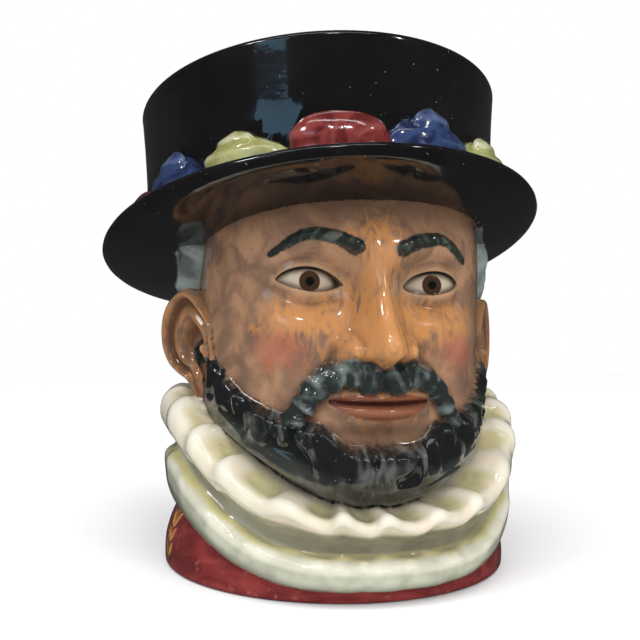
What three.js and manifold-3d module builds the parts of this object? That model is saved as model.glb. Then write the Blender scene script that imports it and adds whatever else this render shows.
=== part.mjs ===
// A glazed earthenware character jug, slip-cast in one piece and open at the top of the hat.
// A bearded head in a round black hat looks out over a two-tiered ruff and a plain coat.
// Millimetres, +Z up, face towards -Y, origin at the centre of the foot.
import * as THREE from "three";
import { mergeVertices } from "three/addons/utils/BufferGeometryUtils.js";
import Module from "manifold-3d";

const wasm = await Module();
wasm.setup();

// Driving dimensions
const JUG_HEIGHT = 162; // foot to the front of the mouth rim
const FOOT_RADIUS = 57.3;
const HEAD_HALF_WIDTH = 48;
const WALL = 5;

// Leans of the hat's rings, as rise in z for each millimetre towards the back of the hat
const BRIM_LEAN = -Math.tan(THREE.MathUtils.degToRad(12));
const RIM_LEAN = -Math.tan(THREE.MathUtils.degToRad(5.5));

// Hat
const BRIM_HALF_WIDTH = 75.5;
const BRIM_HALF_DEPTH = 80;
const CROWN_HALF_WIDTH = 60.5;
const CROWN_HALF_DEPTH = 66.5;
const HAT_X = -2.5; // how far it sits off the middle of the head
const HAT_Y = 9;
const HAT_TURN = THREE.MathUtils.degToRad(12); // it is set askew, towards the figure's left
const RIM_Y = 12;
const BRIM_LEVEL = 108.5;
const RIM_LEVEL = JUG_HEIGHT + RIM_LEAN * (CROWN_HALF_DEPTH - RIM_Y);
const LIP_RADIUS = 2.2;
const LIP_OUT = 1.8; // how far the lip of the mouth stands outside the crown

// Rosettes round the foot of the crown
const ROSETTE_COUNT = 15;
const ROSETTE_FIRST = THREE.MathUtils.degToRad(2);
const ROSETTE_HALF_WIDTH = 14.6;
const ROSETTE_HALF_DEPTH = 6;
const ROSETTE_RISE = 6; // from the brim to its middle
const ROSETTE_DROP = 8.5; // from its middle down
const BOW_TOP = 12; // from its middle up
const LOW_BOW_TOP = 9.6;
const DOME_TOP = 11;
const BOW_SLOPE = 0.36; // share by which a bow is lower at its ends than at its knot
const DOME_SQUARENESS = 2.5;

// Ruff
const PLEAT_COUNT = 24;
const PLEAT_DEPTH = 1.5;
const PLEAT_SIDE_SHARE = 0.55; // how deep the pleats are at the sides and the back, against the front
const RUFF_Y = -3;
const RUFF_WIDTH_SHARE = 0.965; // of its depth
const RUFF_BACK_LIFT = 0.15;

// Face, laid out in equal thirds of its height and fifths of its width
const FACE_THIRD = 34;
const CHIN_Z = 32;
const NOSE_BASE_Z = CHIN_Z + FACE_THIRD;
const BROW_Z = NOSE_BASE_Z + FACE_THIRD;
const EYE_Z = BROW_Z - 0.3 * FACE_THIRD;
const EYE_X = (2 * HEAD_HALF_WIDTH) / 5;
const EYE_RADIUS = 11;
const EYE_SINK = 3.3; // from the plain face back to the lids
const MOUTH_Z = NOSE_BASE_Z - FACE_THIRD / 3;
const MOUTH_HALF_WIDTH = 0.8 * EYE_X;

// Ears
const EAR_HEIGHT = 44;
const EAR_Z = 70;
const EAR_Y = -11;
const EAR_OUT = -1.8; // from the side of the head to the middle of the ear
const EAR_TILT = 20; // degrees that its top leans back
const EAR_FLARE = 33; // degrees that it turns to the front
const EAR_HALF_THICKNESS = 3.2;

// Lock of hair that stands out above each ear, by degrees round the head and height
const LOCK_DEGREES = 88;
const LOCK_HALF_WIDTH = 12;
const LOCK_LOW = 85;
const LOCK_HEIGHT = 18;
const LOCK_OUT = 5.5;

// Handle
const HANDLE_HALF_WIDTH = 8;
const HANDLE_HALF_THICKNESS = 5;
const HANDLE_WAIST = 0.2; // share by which it is slimmer half-way

// Facets
const HEAD_ROWS = 28;
const HEAD_FRONT_COLUMNS = 40;
const HEAD_BACK_COLUMNS = 10;
const HAT_COLUMNS = 36;
const FOOT_COLUMNS = 32;
const CAVITY_COLUMNS = 24;
const EAR_ROUNDS = 4;
const EAR_COLUMNS = 16;
const ROSETTE_COLUMNS = 8;
const ROSETTE_ROWS = 5;
const HANDLE_STEPS = 14;
const HANDLE_SIDES = 10;

const clamp01 = (t) => Math.min(1, Math.max(0, t));

function smoothstep(low, high, value) {
  const t = clamp01((value - low) / (high - low));
  return t * t * (3 - 2 * t);
}

// Smooth curve through the rows [key, value, value ...], read at one key.
function profile(rows, key) {
  const last = rows.length - 1;
  if (key <= rows[0][0]) return rows[0].slice(1);
  if (key >= rows[last][0]) return rows[last].slice(1);
  const i = rows.findIndex((row) => row[0] > key) - 1;
  const t = (key - rows[i][0]) / (rows[i + 1][0] - rows[i][0]);
  const before = rows[Math.max(0, i - 1)];
  const after = rows[Math.min(last, i + 2)];
  return rows[i].slice(1).map((value, k) => {
    const next = rows[i + 1][k + 1];
    const span = rows[i + 1][0] - rows[i][0];
    const slopeIn = ((next - before[k + 1]) / (rows[i + 1][0] - before[0])) * span;
    const slopeOut = ((after[k + 1] - value) / (after[0] - rows[i][0])) * span;
    const t2 = t * t;
    const t3 = t2 * t;
    return (
      (2 * t3 - 3 * t2 + 1) * value +
      (t3 - 2 * t2 + t) * slopeIn +
      (3 * t2 - 2 * t3) * next +
      (t3 - t2) * slopeOut
    );
  });
}

// Closed surface from rows of points, with a fan over the first and the last row.
function skin(rows) {
  const columns = rows[0].length;
  const vertices = rows.flat();
  const centre = (row) =>
    row.reduce((sum, p) => sum.add(p), new THREE.Vector3()).divideScalar(columns);
  const bottom = vertices.push(centre(rows[0])) - 1;
  const top = vertices.push(centre(rows[rows.length - 1])) - 1;
  const faces = [];
  for (let j = 0; j < columns; j++) {
    const k = (j + 1) % columns;
    faces.push(bottom, k, j);
    for (let i = 0; i < rows.length - 1; i++) {
      const a = i * columns;
      const b = a + columns;
      faces.push(a + j, a + k, b + k, a + j, b + k, b + j);
    }
    const edge = (rows.length - 1) * columns;
    faces.push(edge + j, edge + k, top);
  }
  const geometry = new THREE.BufferGeometry().setFromPoints(vertices);
  geometry.setIndex(faces);
  return geometry;
}

// Geometry as a solid that can be joined and cut.
function solid(geometry) {
  const bare = new THREE.BufferGeometry();
  bare.setAttribute("position", geometry.getAttribute("position"));
  bare.setIndex(geometry.getIndex());
  const merged = mergeVertices(bare, 1e-4);
  return new wasm.Manifold(
    new wasm.Mesh({
      numProp: 3,
      vertProperties: new Float32Array(merged.attributes.position.array),
      triVerts: new Uint32Array(merged.index.array),
    }),
  );
}

const angles = (count) => Array.from({ length: count }, (_, j) => (2 * Math.PI * j) / count);

// A point of a leaning oval ring, at an angle from the front. A ring is its half width, half depth, y,
// height at y 0, lean, and share of the hat's turn and shift.
function ringPoint([halfWidth, halfDepth, y, height, lean, hatShare], angle) {
  const turn = HAT_TURN * hatShare;
  const px = halfWidth * Math.sin(angle - turn);
  const py = y - halfDepth * Math.cos(angle - turn);
  return new THREE.Vector3(
    px * Math.cos(turn) - py * Math.sin(turn) + HAT_X * hatShare,
    px * Math.sin(turn) + py * Math.cos(turn),
    height + lean * py,
  );
}

const rings = (list, columns) =>
  list.map((ring) => angles(columns).map((angle) => ringPoint(ring, angle)));

// Head without its features: height, half width, front reach and back reach
const HEAD_FORM = [
  [16, 26, 32, 34],
  [24, 36, 46, 42],
  [31, 41, 51.5, 46],
  [40, 44.5, 53, 48],
  [52, 46.5, 50.5, 49],
  [66, 47.5, 48.5, 50],
  [82, 48, 47.5, 51],
  [100, 48, 49, 52],
  [114, 47, 48, 51],
  [124, 42, 43, 46],
];
const HEAD_SQUARENESS = 2.25;

// Height at which the beard rolls under, at the chin and below the ears
const JAW_FRONT = 24.5;
const JAW_SIDE = 51;
const JAW_INSET = 6;

// Height of the beard's upper edge by angle from the front, in degrees
const BEARD_EDGE = [
  [0, 43],
  [13, 43.5],
  [21, 49],
  [34, 51.5],
  [48, 57],
  [62, 66],
  [74, 73],
  [84, 74],
];
const MOUSTACHE_LINE = [
  [2.5, 1.5],
  [8, 3.6],
  [14, 1.8],
  [18.5, -4],
  [17.5, -9],
];
const EYEBROW_LINE = [
  [7, 0.2],
  [14, 3.2],
  [22, 3.6],
  [30.5, -1.5],
];

// Distance from a point to a line of straight stretches.
function toLine(line, x, z) {
  let nearest = Infinity;
  for (let i = 0; i < line.length - 1; i++) {
    const [ax, az] = line[i];
    const dx = line[i + 1][0] - ax;
    const dz = line[i + 1][1] - az;
    const t = clamp01(((x - ax) * dx + (z - az) * dz) / (dx * dx + dz * dz));
    nearest = Math.min(nearest, Math.hypot(x - ax - t * dx, z - az - t * dz));
  }
  return nearest;
}

const hump = (x, z, atX, atZ, spreadX, spreadZ) =>
  Math.exp(-(((x - atX) / spreadX) ** 2) - ((z - atZ) / spreadZ) ** 2);

// Nose: height, how far it stands out and half its width
const NOSE_FORM = [
  [NOSE_BASE_Z - 4.5, 0, 6],
  [NOSE_BASE_Z - 1.5, 4, 7],
  [NOSE_BASE_Z + 0.6, 11.5, 7.6],
  [NOSE_BASE_Z + 3, 15.8, 7.4],
  [NOSE_BASE_Z + 6.5, 16.4, 6.6],
  [NOSE_BASE_Z + 14, 11.6, 5.6],
  [EYE_Z + 2, 6, 5.2],
  [BROW_Z, 2.4, 8],
  [BROW_Z + 8, 0, 9],
];

// How far the face stands forward of the plain head, in millimetres. It is the same left and right.
function faceRelief(xSigned, z) {
  const x = Math.abs(xSigned);
  const [reach, width] = profile(NOSE_FORM, z);
  const nose = reach * Math.exp(-((x / width) ** 2.4));
  const wing = 9 * Math.exp(-((((x - 8.2) / 3.7) ** 2 + ((z - NOSE_BASE_Z - 3.9) / 4.2) ** 2) ** 1.25));
  let out = Math.max(nose, wing);
  out += 2.8 * hump(x, z, 16, BROW_Z + 1, 15, 4.6);
  out -= 7 * hump(x, z, EYE_X - 1.5, EYE_Z - 0.5, 10.5, 7.4);
  out += 3.4 * hump(x, z, 27, EYE_Z - 13, 12, 9);
  out += 3.6 * hump(x, z, 0, MOUTH_Z + 3, 18, 12);
  const lips = Math.sqrt(clamp01(1 - (x / MOUTH_HALF_WIDTH) ** 2));
  out += lips * 1.7 * Math.exp(-(((z - MOUTH_Z - 1.7) / 1.6) ** 2));
  out -= lips * 2.3 * Math.exp(-(((z - MOUTH_Z) / 0.9) ** 2));
  out += lips * 2.4 * Math.exp(-(((z - MOUTH_Z + 2.5) / 2.3) ** 2));
  out -= 2 * hump(x, z, 0, MOUTH_Z - 8.5, 10, 3);
  out += 3.8 * Math.exp(-((toLine(MOUSTACHE_LINE, x, z - MOUTH_Z - 5) / 3.8) ** 3));
  out += 1.5 * Math.exp(-((toLine(EYEBROW_LINE, x, z - BROW_Z + 0.5) / 2.2) ** 2));
  return out;
}

// How far forward the lids over an eyeball reach, or nothing away from the eye.
function lidReach(xSigned, z) {
  const away = Math.hypot(Math.abs(xSigned) - EYE_X, z - EYE_Z);
  const [, plainFront] = profile(HEAD_FORM, EYE_Z);
  return plainFront - EYE_SINK - EYE_RADIUS + Math.sqrt(Math.max(0, EYE_RADIUS ** 2 - away ** 2));
}

function headPoint(angle, z) {
  const [halfWidth, front, back] = profile(HEAD_FORM, z);
  const s = Math.sin(angle);
  const c = Math.cos(angle);
  const reach = (Math.abs(s) ** HEAD_SQUARENESS + Math.abs(c) ** HEAD_SQUARENESS) ** (-1 / HEAD_SQUARENESS);
  const degrees = Math.abs(THREE.MathUtils.radToDeg(angle));
  const [beardEdge] = profile(BEARD_EDGE, degrees);
  const beard = smoothstep(-0.4, 2.2, beardEdge - z) * smoothstep(87, 78, degrees);
  const hair = smoothstep(92, 102, degrees);
  const lock = LOCK_HALF_WIDTH * Math.sqrt(clamp01((z - LOCK_LOW) / LOCK_HEIGHT));
  const temple = LOCK_OUT * smoothstep(0, 6, lock - Math.abs(degrees - LOCK_DEGREES));
  const jaw = THREE.MathUtils.lerp(JAW_FRONT, JAW_SIDE, s ** 2);
  const inset = JAW_INSET * smoothstep(jaw + 2.5, jaw - 4, z) * smoothstep(-0.2, 0.1, c);
  const fullness = 1 + (2 * beard + 1.8 * hair + temple - inset) / halfWidth;
  const x = halfWidth * s * reach * fullness;
  let forward = (c > 0 ? front : back) * c * reach * fullness;
  if (c > 0) {
    const face = forward + faceRelief(x, z) + 1.8 * beard;
    forward = THREE.MathUtils.lerp(forward, Math.max(face, lidReach(x, z)), smoothstep(0.22, 0.5, c));
  }
  return new THREE.Vector3(x, -forward, z);
}

// Steps from -0.5 to 0.5, drawn closer together about 0, where the face is.
const gather = (t) => t - 0.045 * Math.sin(2 * Math.PI * t);

function head() {
  const front = Array.from({ length: HEAD_FRONT_COLUMNS }, (_, j) => gather(j / HEAD_FRONT_COLUMNS - 0.5));
  const back = Array.from({ length: HEAD_BACK_COLUMNS }, (_, j) => 0.5 + j / HEAD_BACK_COLUMNS);
  const turns = [...front.map((t) => t * Math.PI), ...back.map((t) => t * Math.PI)];
  const low = HEAD_FORM[0][0];
  const high = HEAD_FORM[HEAD_FORM.length - 1][0];
  const rows = Array.from({ length: HEAD_ROWS + 1 }, (_, i) => {
    const z = low + (high - low) * (0.5 + gather(i / HEAD_ROWS - 0.5));
    return turns.map((turn) => headPoint(turn > Math.PI ? turn - 2 * Math.PI : turn, z));
  });
  return solid(skin(rows));
}

// Outline of an ear by angle round it, from its front over the top, as a share of half its height
const EAR_OUTLINE = [
  [0, 0.42],
  [60, 0.66],
  [90, 0.98],
  [120, 0.97],
  [150, 0.82],
  [180, 0.64],
  [205, 0.52],
  [235, 0.52],
  [270, 0.95],
  [290, 0.8],
  [320, 0.5],
  [360, 0.42],
];
// Height of an ear's relief from its middle to its edge
const EAR_RELIEF = [
  [0, -2],
  [0.35, -1.6],
  [0.55, 1.6],
  [0.72, 0.6],
  [0.88, 2.6],
  [1, 0.4],
];

// A plate in the shape of an ear, lying in X (to the back) and Z (up), with its relief towards +Y.
function earPlate(rounds, columns) {
  const point = (share, turn, side) => {
    const [outline] = profile(EAR_OUTLINE, turn);
    const radius = share * outline * (EAR_HEIGHT / 2);
    const [relief] = profile(EAR_RELIEF, share);
    const a = THREE.MathUtils.degToRad(turn);
    const height = side > 0 ? relief + EAR_HALF_THICKNESS : -EAR_HALF_THICKNESS * (1 - share ** 3);
    return new THREE.Vector3(-radius * Math.cos(a), height, radius * Math.sin(a));
  };
  const turns = Array.from({ length: columns }, (_, j) => (360 * j) / columns);
  const shares = Array.from({ length: rounds }, (_, i) => (i + 1) / rounds);
  const backRows = shares.map((share) => turns.map((turn) => point(share, turn, -1)));
  const frontRows = shares.map((share) => turns.map((turn) => point(share, turn, 1)));
  return skin([...backRows, ...frontRows.reverse()]);
}

function ear(side) {
  const geometry = earPlate(EAR_ROUNDS, EAR_COLUMNS);
  geometry.rotateY(THREE.MathUtils.degToRad(EAR_TILT));
  geometry.rotateZ(THREE.MathUtils.degToRad(90 + EAR_FLARE));
  const [halfWidth] = profile(HEAD_FORM, EAR_Z);
  geometry.translate(-halfWidth - EAR_OUT, EAR_Y, EAR_Z);
  return side < 0 ? solid(geometry) : solid(geometry).mirror([1, 0, 0]);
}

// Hat rings below and at the brim: how far inside the brim's edge, and height above the brim's plane
const BRIM_SECTION = [
  [38, -7.5],
  [30, -5],
  [23, -4.2],
  [14, -3.4],
  [6, -2.2],
  [1.8, -1.2],
  [0, 0.4],
  [1.2, 2.4],
  [5, 2.4],
  [10, 0.8],
  [13.5, 0.2],
];
// Crown rings: share of the way up to the rim, and how far the wall stands outside the crown's own oval
const CROWN_SECTION = [
  [0.08, 0],
  [0.35, -0.3],
  [0.7, 0.6],
  [0.94, 1.6],
];

const crownRing = (share, out, down) => [
  CROWN_HALF_WIDTH + out,
  CROWN_HALF_DEPTH + out,
  THREE.MathUtils.lerp(HAT_Y, RIM_Y, share),
  THREE.MathUtils.lerp(BRIM_LEVEL, RIM_LEVEL, share) - down,
  THREE.MathUtils.lerp(BRIM_LEAN, RIM_LEAN, share),
  1,
];

// A ring of the rounded lip of the mouth: 0 degrees is its outer or inner side and 90 is its top.
function lipRing(degrees, inward) {
  const a = THREE.MathUtils.degToRad(degrees);
  const back = LIP_RADIUS * (1 - Math.cos(a));
  const out = inward ? LIP_OUT - 2 * LIP_RADIUS + back : LIP_OUT - back;
  return crownRing(1, out, LIP_RADIUS * (1 - Math.sin(a)));
}

function hat() {
  const brim = BRIM_SECTION.map(([inset, rise]) => [
    BRIM_HALF_WIDTH - inset,
    BRIM_HALF_DEPTH - inset,
    HAT_Y,
    BRIM_LEVEL + rise,
    BRIM_LEAN,
    1,
  ]);
  const crown = CROWN_SECTION.map(([share, out]) => crownRing(share, out, 0));
  const lip = [30, 60, 90].map((degrees) => lipRing(degrees, false));
  return solid(skin(rings([...brim, ...crown, ...lip], HAT_COLUMNS)));
}

// How far a dome of radius 1 reaches towards (x, z), so that its outline is squarer than a circle.
function domeReach(x, z) {
  const square = (Math.abs(x) ** DOME_SQUARENESS + Math.abs(z) ** DOME_SQUARENESS) ** (1 / DOME_SQUARENESS);
  return Math.hypot(x, z) / (square || 1);
}

// A puffed ribbon rosette. Every third is a flat-topped dome and the others are bows, highest at the knot.
function rosette(index) {
  const angle = ROSETTE_FIRST + (2 * Math.PI * index) / ROSETTE_COUNT;
  const top = [BOW_TOP, LOW_BOW_TOP, DOME_TOP][index % 3];
  const ball = new THREE.SphereGeometry(1, ROSETTE_COLUMNS, ROSETTE_ROWS);
  const at = ball.getAttribute("position");
  for (let i = 0; i < at.count; i++) {
    const v = new THREE.Vector3().fromBufferAttribute(at, i);
    const dome = index % 3 === 2;
    const reach = dome ? domeReach(v.x, v.z) : 1;
    const slope = dome ? reach : 1 - BOW_SLOPE * Math.abs(v.x);
    const height = v.z > 0 ? top * slope : ROSETTE_DROP;
    at.setXYZ(i, v.x * reach * ROSETTE_HALF_WIDTH, v.y * ROSETTE_HALF_DEPTH, v.z * height);
  }
  const ring = [CROWN_HALF_WIDTH + 1, CROWN_HALF_DEPTH + 1, HAT_Y, BRIM_LEVEL, BRIM_LEAN, 1];
  const place = ringPoint(ring, angle + HAT_TURN);
  ball.rotateZ(Math.atan2(Math.sin(angle) / CROWN_HALF_WIDTH, Math.cos(angle) / CROWN_HALF_DEPTH) + HAT_TURN);
  ball.translate(place.x, place.y, place.z + ROSETTE_RISE);
  return solid(ball);
}

// Ruff section: radius, height at the front, height at the sides, share of the pleats, and how late it rises.
// The first rows are the lower tier and the last ones the upper tier.
const RUFF_SECTION = [
  [44, 3.6, 22, 0, 1],
  [53, 3.6, 21, 0, 1],
  [57, 4.2, 21.4, 0.1, 1],
  [59.2, 6.4, 25.5, 0.2, 1],
  [60, 8.6, 30.4, 0.3, 1],
  [60.2, 10.6, 35, 0.35, 1],
  [58.6, 12.2, 37.2, 0.3, 1],
  [55.6, 13.6, 39, 0.2, 0.95],
  [55.6, 17, 41.2, 0.4, 0.85],
  [59.6, 19.8, 44, 0.7, 0.8],
  [61.8, 22, 48.4, 0.8, 0.75],
  [60.6, 24.2, 54.4, 0.8, 0.7],
  [56, 24.8, 57.6, 0.6, 0.65],
  [51, 25, 57, 0.4, 0.6],
  [46, 25, 56, 0.2, 0.5],
  [38, 25.5, 53, 0, 0.4],
];
const RUFF_LOWER_ROWS = 7;

// Uneven run of the pleats round the ruff, as hand-pinched folds.
const pleatDrift = (angle) => 0.9 * Math.sin(5 * angle) + 0.5 * Math.sin(9 * angle + 2);

const pleatWave = (phase) => Math.cos(phase) + 0.22 * Math.cos(2 * phase + 1);

// Angle at which the folds have come to a phase.
function pleatAngle(phase) {
  let angle = phase / PLEAT_COUNT;
  for (let i = 0; i < 20; i++) angle = (phase - pleatDrift(angle)) / PLEAT_COUNT;
  return angle;
}

// 0 at the front, 1 at the sides and a little more at the back. The later it rises, the nearer to the sides.
function sideShare(angle, late) {
  const c = Math.cos(angle);
  const s = Math.sin(angle);
  return c > 0 ? s * s * (1 - late * c * c) : 1 + RUFF_BACK_LIFT * c * c;
}

function ruff() {
  const phases = Array.from({ length: 2 * PLEAT_COUNT }, (_, j) => Math.PI * j);
  const rows = RUFF_SECTION.map(([radius, front, side, share, late], row) => {
    const tierPhase = row < RUFF_LOWER_ROWS ? Math.PI : 0;
    return phases.map((phase) => {
      const angle = pleatAngle(phase);
      const depth = THREE.MathUtils.lerp(PLEAT_SIDE_SHARE, 1, Math.max(0, Math.cos(angle)) ** 2);
      const fold = PLEAT_DEPTH * depth * share * pleatWave(phase + tierPhase);
      const out = radius + 0.6 * fold;
      return new THREE.Vector3(
        RUFF_WIDTH_SHARE * out * Math.sin(angle),
        RUFF_Y - out * Math.cos(angle),
        THREE.MathUtils.lerp(front, side, sideShare(angle, late)) + fold,
      );
    });
  });
  return solid(skin(rows));
}

// Coat section: radius, height at the front and height at the sides. It rises with the ruff.
const COAT_SECTION = [
  [FOOT_RADIUS - 1.6, 0, 0],
  [FOOT_RADIUS - 0.4, 0.6, 0.6],
  [FOOT_RADIUS, 2, 2],
  [FOOT_RADIUS - 0.1, 5, 8],
  [FOOT_RADIUS - 1.6, 7, 14],
  [FOOT_RADIUS - 4.2, 9, 20],
  [FOOT_RADIUS - 6, 11, 25],
  [FOOT_RADIUS - 12, 13, 30],
];

const COAT_LATE = 1;

function coat() {
  const rows = COAT_SECTION.map(([radius, front, side]) =>
    angles(FOOT_COLUMNS).map((angle) => {
      const z = THREE.MathUtils.lerp(front, side, sideShare(angle, COAT_LATE));
      return new THREE.Vector3(radius * Math.sin(angle), -radius * Math.cos(angle), z);
    }),
  );
  return solid(skin(rows));
}

// Handle: its centre line at the back, from the brim down to the coat
const HANDLE_LINE = [
  [72, 97],
  [84, 88],
  [92, 75],
  [94, 60],
  [87, 45],
  [75, 33],
  [54, 26],
].map(([y, z]) => new THREE.Vector3(0, y, z));

function handle() {
  const line = new THREE.CatmullRomCurve3(HANDLE_LINE);
  const rows = Array.from({ length: HANDLE_STEPS + 1 }, (_, i) => {
    const at = line.getPointAt(i / HANDLE_STEPS);
    const along = line.getTangentAt(i / HANDLE_STEPS);
    const out = new THREE.Vector3(0, -along.z, along.y);
    const taper = 1 - HANDLE_WAIST * Math.sin((Math.PI * i) / HANDLE_STEPS);
    return angles(HANDLE_SIDES).map((a) =>
      at
        .clone()
        .addScaledVector(out, HANDLE_HALF_THICKNESS * taper * Math.sin(a))
        .add(new THREE.Vector3(HANDLE_HALF_WIDTH * taper * Math.cos(a), 0, 0)),
    );
  });
  return solid(skin(rows.map((row) => row.reverse())));
}

// Inside of the jug, from its floor up through the head into the hat, as rings
const CAVITY_RINGS = [
  [42, 42, 0, 6, 0, 0],
  [48, 48, 0, 8, 0, 0],
  [49.5, 50, 0, 13, 0.03, 0],
  [47.5, 48, 0, 20, 0.08, 0],
  [46.5, 45.5, 1, 29, 0.16, 0],
  [45.5, 44, 1, 42, 0.2, 0],
  [42, 43.5, 1.5, 55, 0.12, 0],
  [42, 42, 3, 68, 0.02, 0],
  [42, 41.5, 4, 88, -0.1, 0],
  [42.5, 43, 5, 103, -0.18, 0.3],
  [49, 52, 8, 111, BRIM_LEAN, 0.7],
  [CROWN_HALF_WIDTH - WALL, CROWN_HALF_DEPTH - WALL, HAT_Y + 0.5, 118, -0.19, 1],
  [CROWN_HALF_WIDTH - WALL + 0.6, CROWN_HALF_DEPTH - WALL + 0.6, RIM_Y - 1, 139, -0.13, 1],
];
const CAVITY_OVERSHOOT = 10; // how far the hollow is cut on above the mouth

function cavity() {
  const lip = [0, 45, 90].map((degrees) => lipRing(degrees, true));
  const above = [...lip[2]];
  above[3] += CAVITY_OVERSHOOT;
  return solid(skin(rings([...CAVITY_RINGS, ...lip, above], CAVITY_COLUMNS)));
}

function jugBody() {
  const pieces = [coat(), ruff(), head(), ear(1), ear(-1), hat(), handle()];
  for (let i = 0; i < ROSETTE_COUNT; i++) pieces.push(rosette(i));
  const outside = pieces.reduce((sum, piece) => sum.add(piece));
  return outside.subtract(cavity());
}

function geometryOf(body) {
  const mesh = body.getMesh();
  const geometry = new THREE.BufferGeometry();
  geometry.setAttribute("position", new THREE.BufferAttribute(mesh.vertProperties, 3));
  geometry.setIndex(new THREE.BufferAttribute(mesh.triVerts, 1));
  geometry.computeVertexNormals();
  return geometry;
}

const glaze = new THREE.MeshStandardMaterial({ color: 0x8a6a4c, roughness: 0.15, metalness: 0 });
const jug = new THREE.Mesh(geometryOf(jugBody()), glaze);
jug.name = "character_jug";

const part = new THREE.Group();
part.add(jug);
export default part;
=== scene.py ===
"""Looks of a glazed earthenware character jug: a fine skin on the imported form, painted and glazed."""

import math

import bpy
import numpy as np
from mathutils import Matrix, Vector


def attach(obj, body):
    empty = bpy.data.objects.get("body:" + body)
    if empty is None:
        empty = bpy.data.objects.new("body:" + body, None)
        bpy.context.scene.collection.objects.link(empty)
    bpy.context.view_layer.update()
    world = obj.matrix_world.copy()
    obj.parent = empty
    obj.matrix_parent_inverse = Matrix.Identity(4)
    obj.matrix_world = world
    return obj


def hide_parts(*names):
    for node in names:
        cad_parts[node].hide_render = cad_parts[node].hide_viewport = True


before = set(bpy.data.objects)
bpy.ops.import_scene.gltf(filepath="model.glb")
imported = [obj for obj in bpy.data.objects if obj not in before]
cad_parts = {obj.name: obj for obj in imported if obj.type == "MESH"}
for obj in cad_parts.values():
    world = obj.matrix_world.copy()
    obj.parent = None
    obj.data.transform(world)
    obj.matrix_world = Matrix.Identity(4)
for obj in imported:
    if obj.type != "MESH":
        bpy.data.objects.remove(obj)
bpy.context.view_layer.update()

MM = 0.001

# Driving dimensions, in millimetres
JUG_HEIGHT = 162.0
FOOT_RADIUS = 57.3
HEAD_HALF_WIDTH = 48.0
WALL = 5.0

# Leans of the hat's rings, as rise in z for each millimetre towards the back of the hat
BRIM_LEAN = -math.tan(math.radians(12))
RIM_LEAN = -math.tan(math.radians(5.5))

# Hat
BRIM_HALF_WIDTH = 75.5
BRIM_HALF_DEPTH = 80.0
CROWN_HALF_WIDTH = 60.5
CROWN_HALF_DEPTH = 66.5
HAT_X = -2.5
HAT_Y = 9.0
HAT_TURN = math.radians(12)
RIM_Y = 12.0
BRIM_LEVEL = 108.5
RIM_LEVEL = JUG_HEIGHT + RIM_LEAN * (CROWN_HALF_DEPTH - RIM_Y)
LIP_RADIUS = 2.2
LIP_OUT = 1.8

# Rosettes
ROSETTE_COUNT = 15
ROSETTE_FIRST = math.radians(2)
ROSETTE_HALF_WIDTH = 14.6
ROSETTE_HALF_DEPTH = 6.0
ROSETTE_RISE = 6.0
ROSETTE_DROP = 8.5
BOW_TOP = 12.0
LOW_BOW_TOP = 9.6
DOME_TOP = 11.0
BOW_SLOPE = 0.36
DOME_SQUARENESS = 2.5

# Ruff
PLEAT_COUNT = 24
PLEAT_DEPTH = 1.5
PLEAT_SIDE_SHARE = 0.55
RUFF_Y = -3.0
RUFF_WIDTH_SHARE = 0.965
RUFF_BACK_LIFT = 0.15
LOWER_TIER_TOP = 12.7
DIMPLE_RADIUS = 53.5
DIMPLE_DEPTH = 1.5
# Heights of the two lips at the front and at the sides, and how late they rise
LOWER_LIP = [10.4, 34.4, 1.0]
UPPER_LIP = [22.0, 48.4, 0.75]
COAT_LATE = 1.0

# Face, laid out in equal thirds of its height and fifths of its width
FACE_THIRD = 34.0
CHIN_Z = 32.0
NOSE_BASE_Z = CHIN_Z + FACE_THIRD
BROW_Z = NOSE_BASE_Z + FACE_THIRD
EYE_Z = BROW_Z - 0.3 * FACE_THIRD
EYE_X = 2 * HEAD_HALF_WIDTH / 5
EYE_HALF_WIDTH = EYE_X / 2
MOUTH_Z = NOSE_BASE_Z - FACE_THIRD / 3
MOUTH_HALF_WIDTH = 0.8 * EYE_X
EYE_RADIUS = 11.0
EYE_SINK = 3.3
IRIS_RADIUS = 3.1
PUPIL_RADIUS = 1.35

# Ears
EAR_HEIGHT = 44.0
EAR_Z = 70.0
EAR_Y = -11.0
EAR_OUT = -1.8
EAR_TILT = 20.0
EAR_FLARE = 33.0
EAR_HALF_THICKNESS = 3.2

# Lock of hair that stands out above each ear, by degrees round the head and height
LOCK_DEGREES = 88.0
LOCK_HALF_WIDTH = 12.0
LOCK_LOW = 85.0
LOCK_HEIGHT = 18.0
LOCK_OUT = 5.5

# Handle
HANDLE_HALF_WIDTH = 8.0
HANDLE_HALF_THICKNESS = 4.6  # slimmer than the faceted solid's, so that it stays inside its box
HANDLE_WAIST = 0.2

# Places of the painted areas in the jug's list of materials
BLACK, SKIN, EAR, RUFF, COAT, RED, BLUE, WHITE, HANDLE, INSIDE, CLAY = range(11)


def smoothstep(low, high, value):
    t = np.clip((value - low) / (high - low), 0, 1)
    return t * t * (3 - 2 * t)


def profile(rows, key):
    """Smooth curves through the rows [key, value, value ...], read at an array of keys."""
    table = np.asarray(rows, float)
    knots = table[:, 0]
    key = np.clip(key, knots[0], knots[-1])
    i = np.clip(np.searchsorted(knots, key, side="right") - 1, 0, len(knots) - 2)
    before = np.maximum(i - 1, 0)
    after = np.minimum(i + 2, len(knots) - 1)
    span = knots[i + 1] - knots[i]
    t = (key - knots[i]) / span
    t2, t3 = t * t, t * t * t
    curves = []
    for value in table[:, 1:].T:
        slope_in = (value[i + 1] - value[before]) / (knots[i + 1] - knots[before]) * span
        slope_out = (value[after] - value[i]) / (knots[after] - knots[i]) * span
        curves.append(
            (2 * t3 - 3 * t2 + 1) * value[i]
            + (t3 - 2 * t2 + t) * slope_in
            + (3 * t2 - 2 * t3) * value[i + 1]
            + (t3 - t2) * slope_out
        )
    return curves


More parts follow.
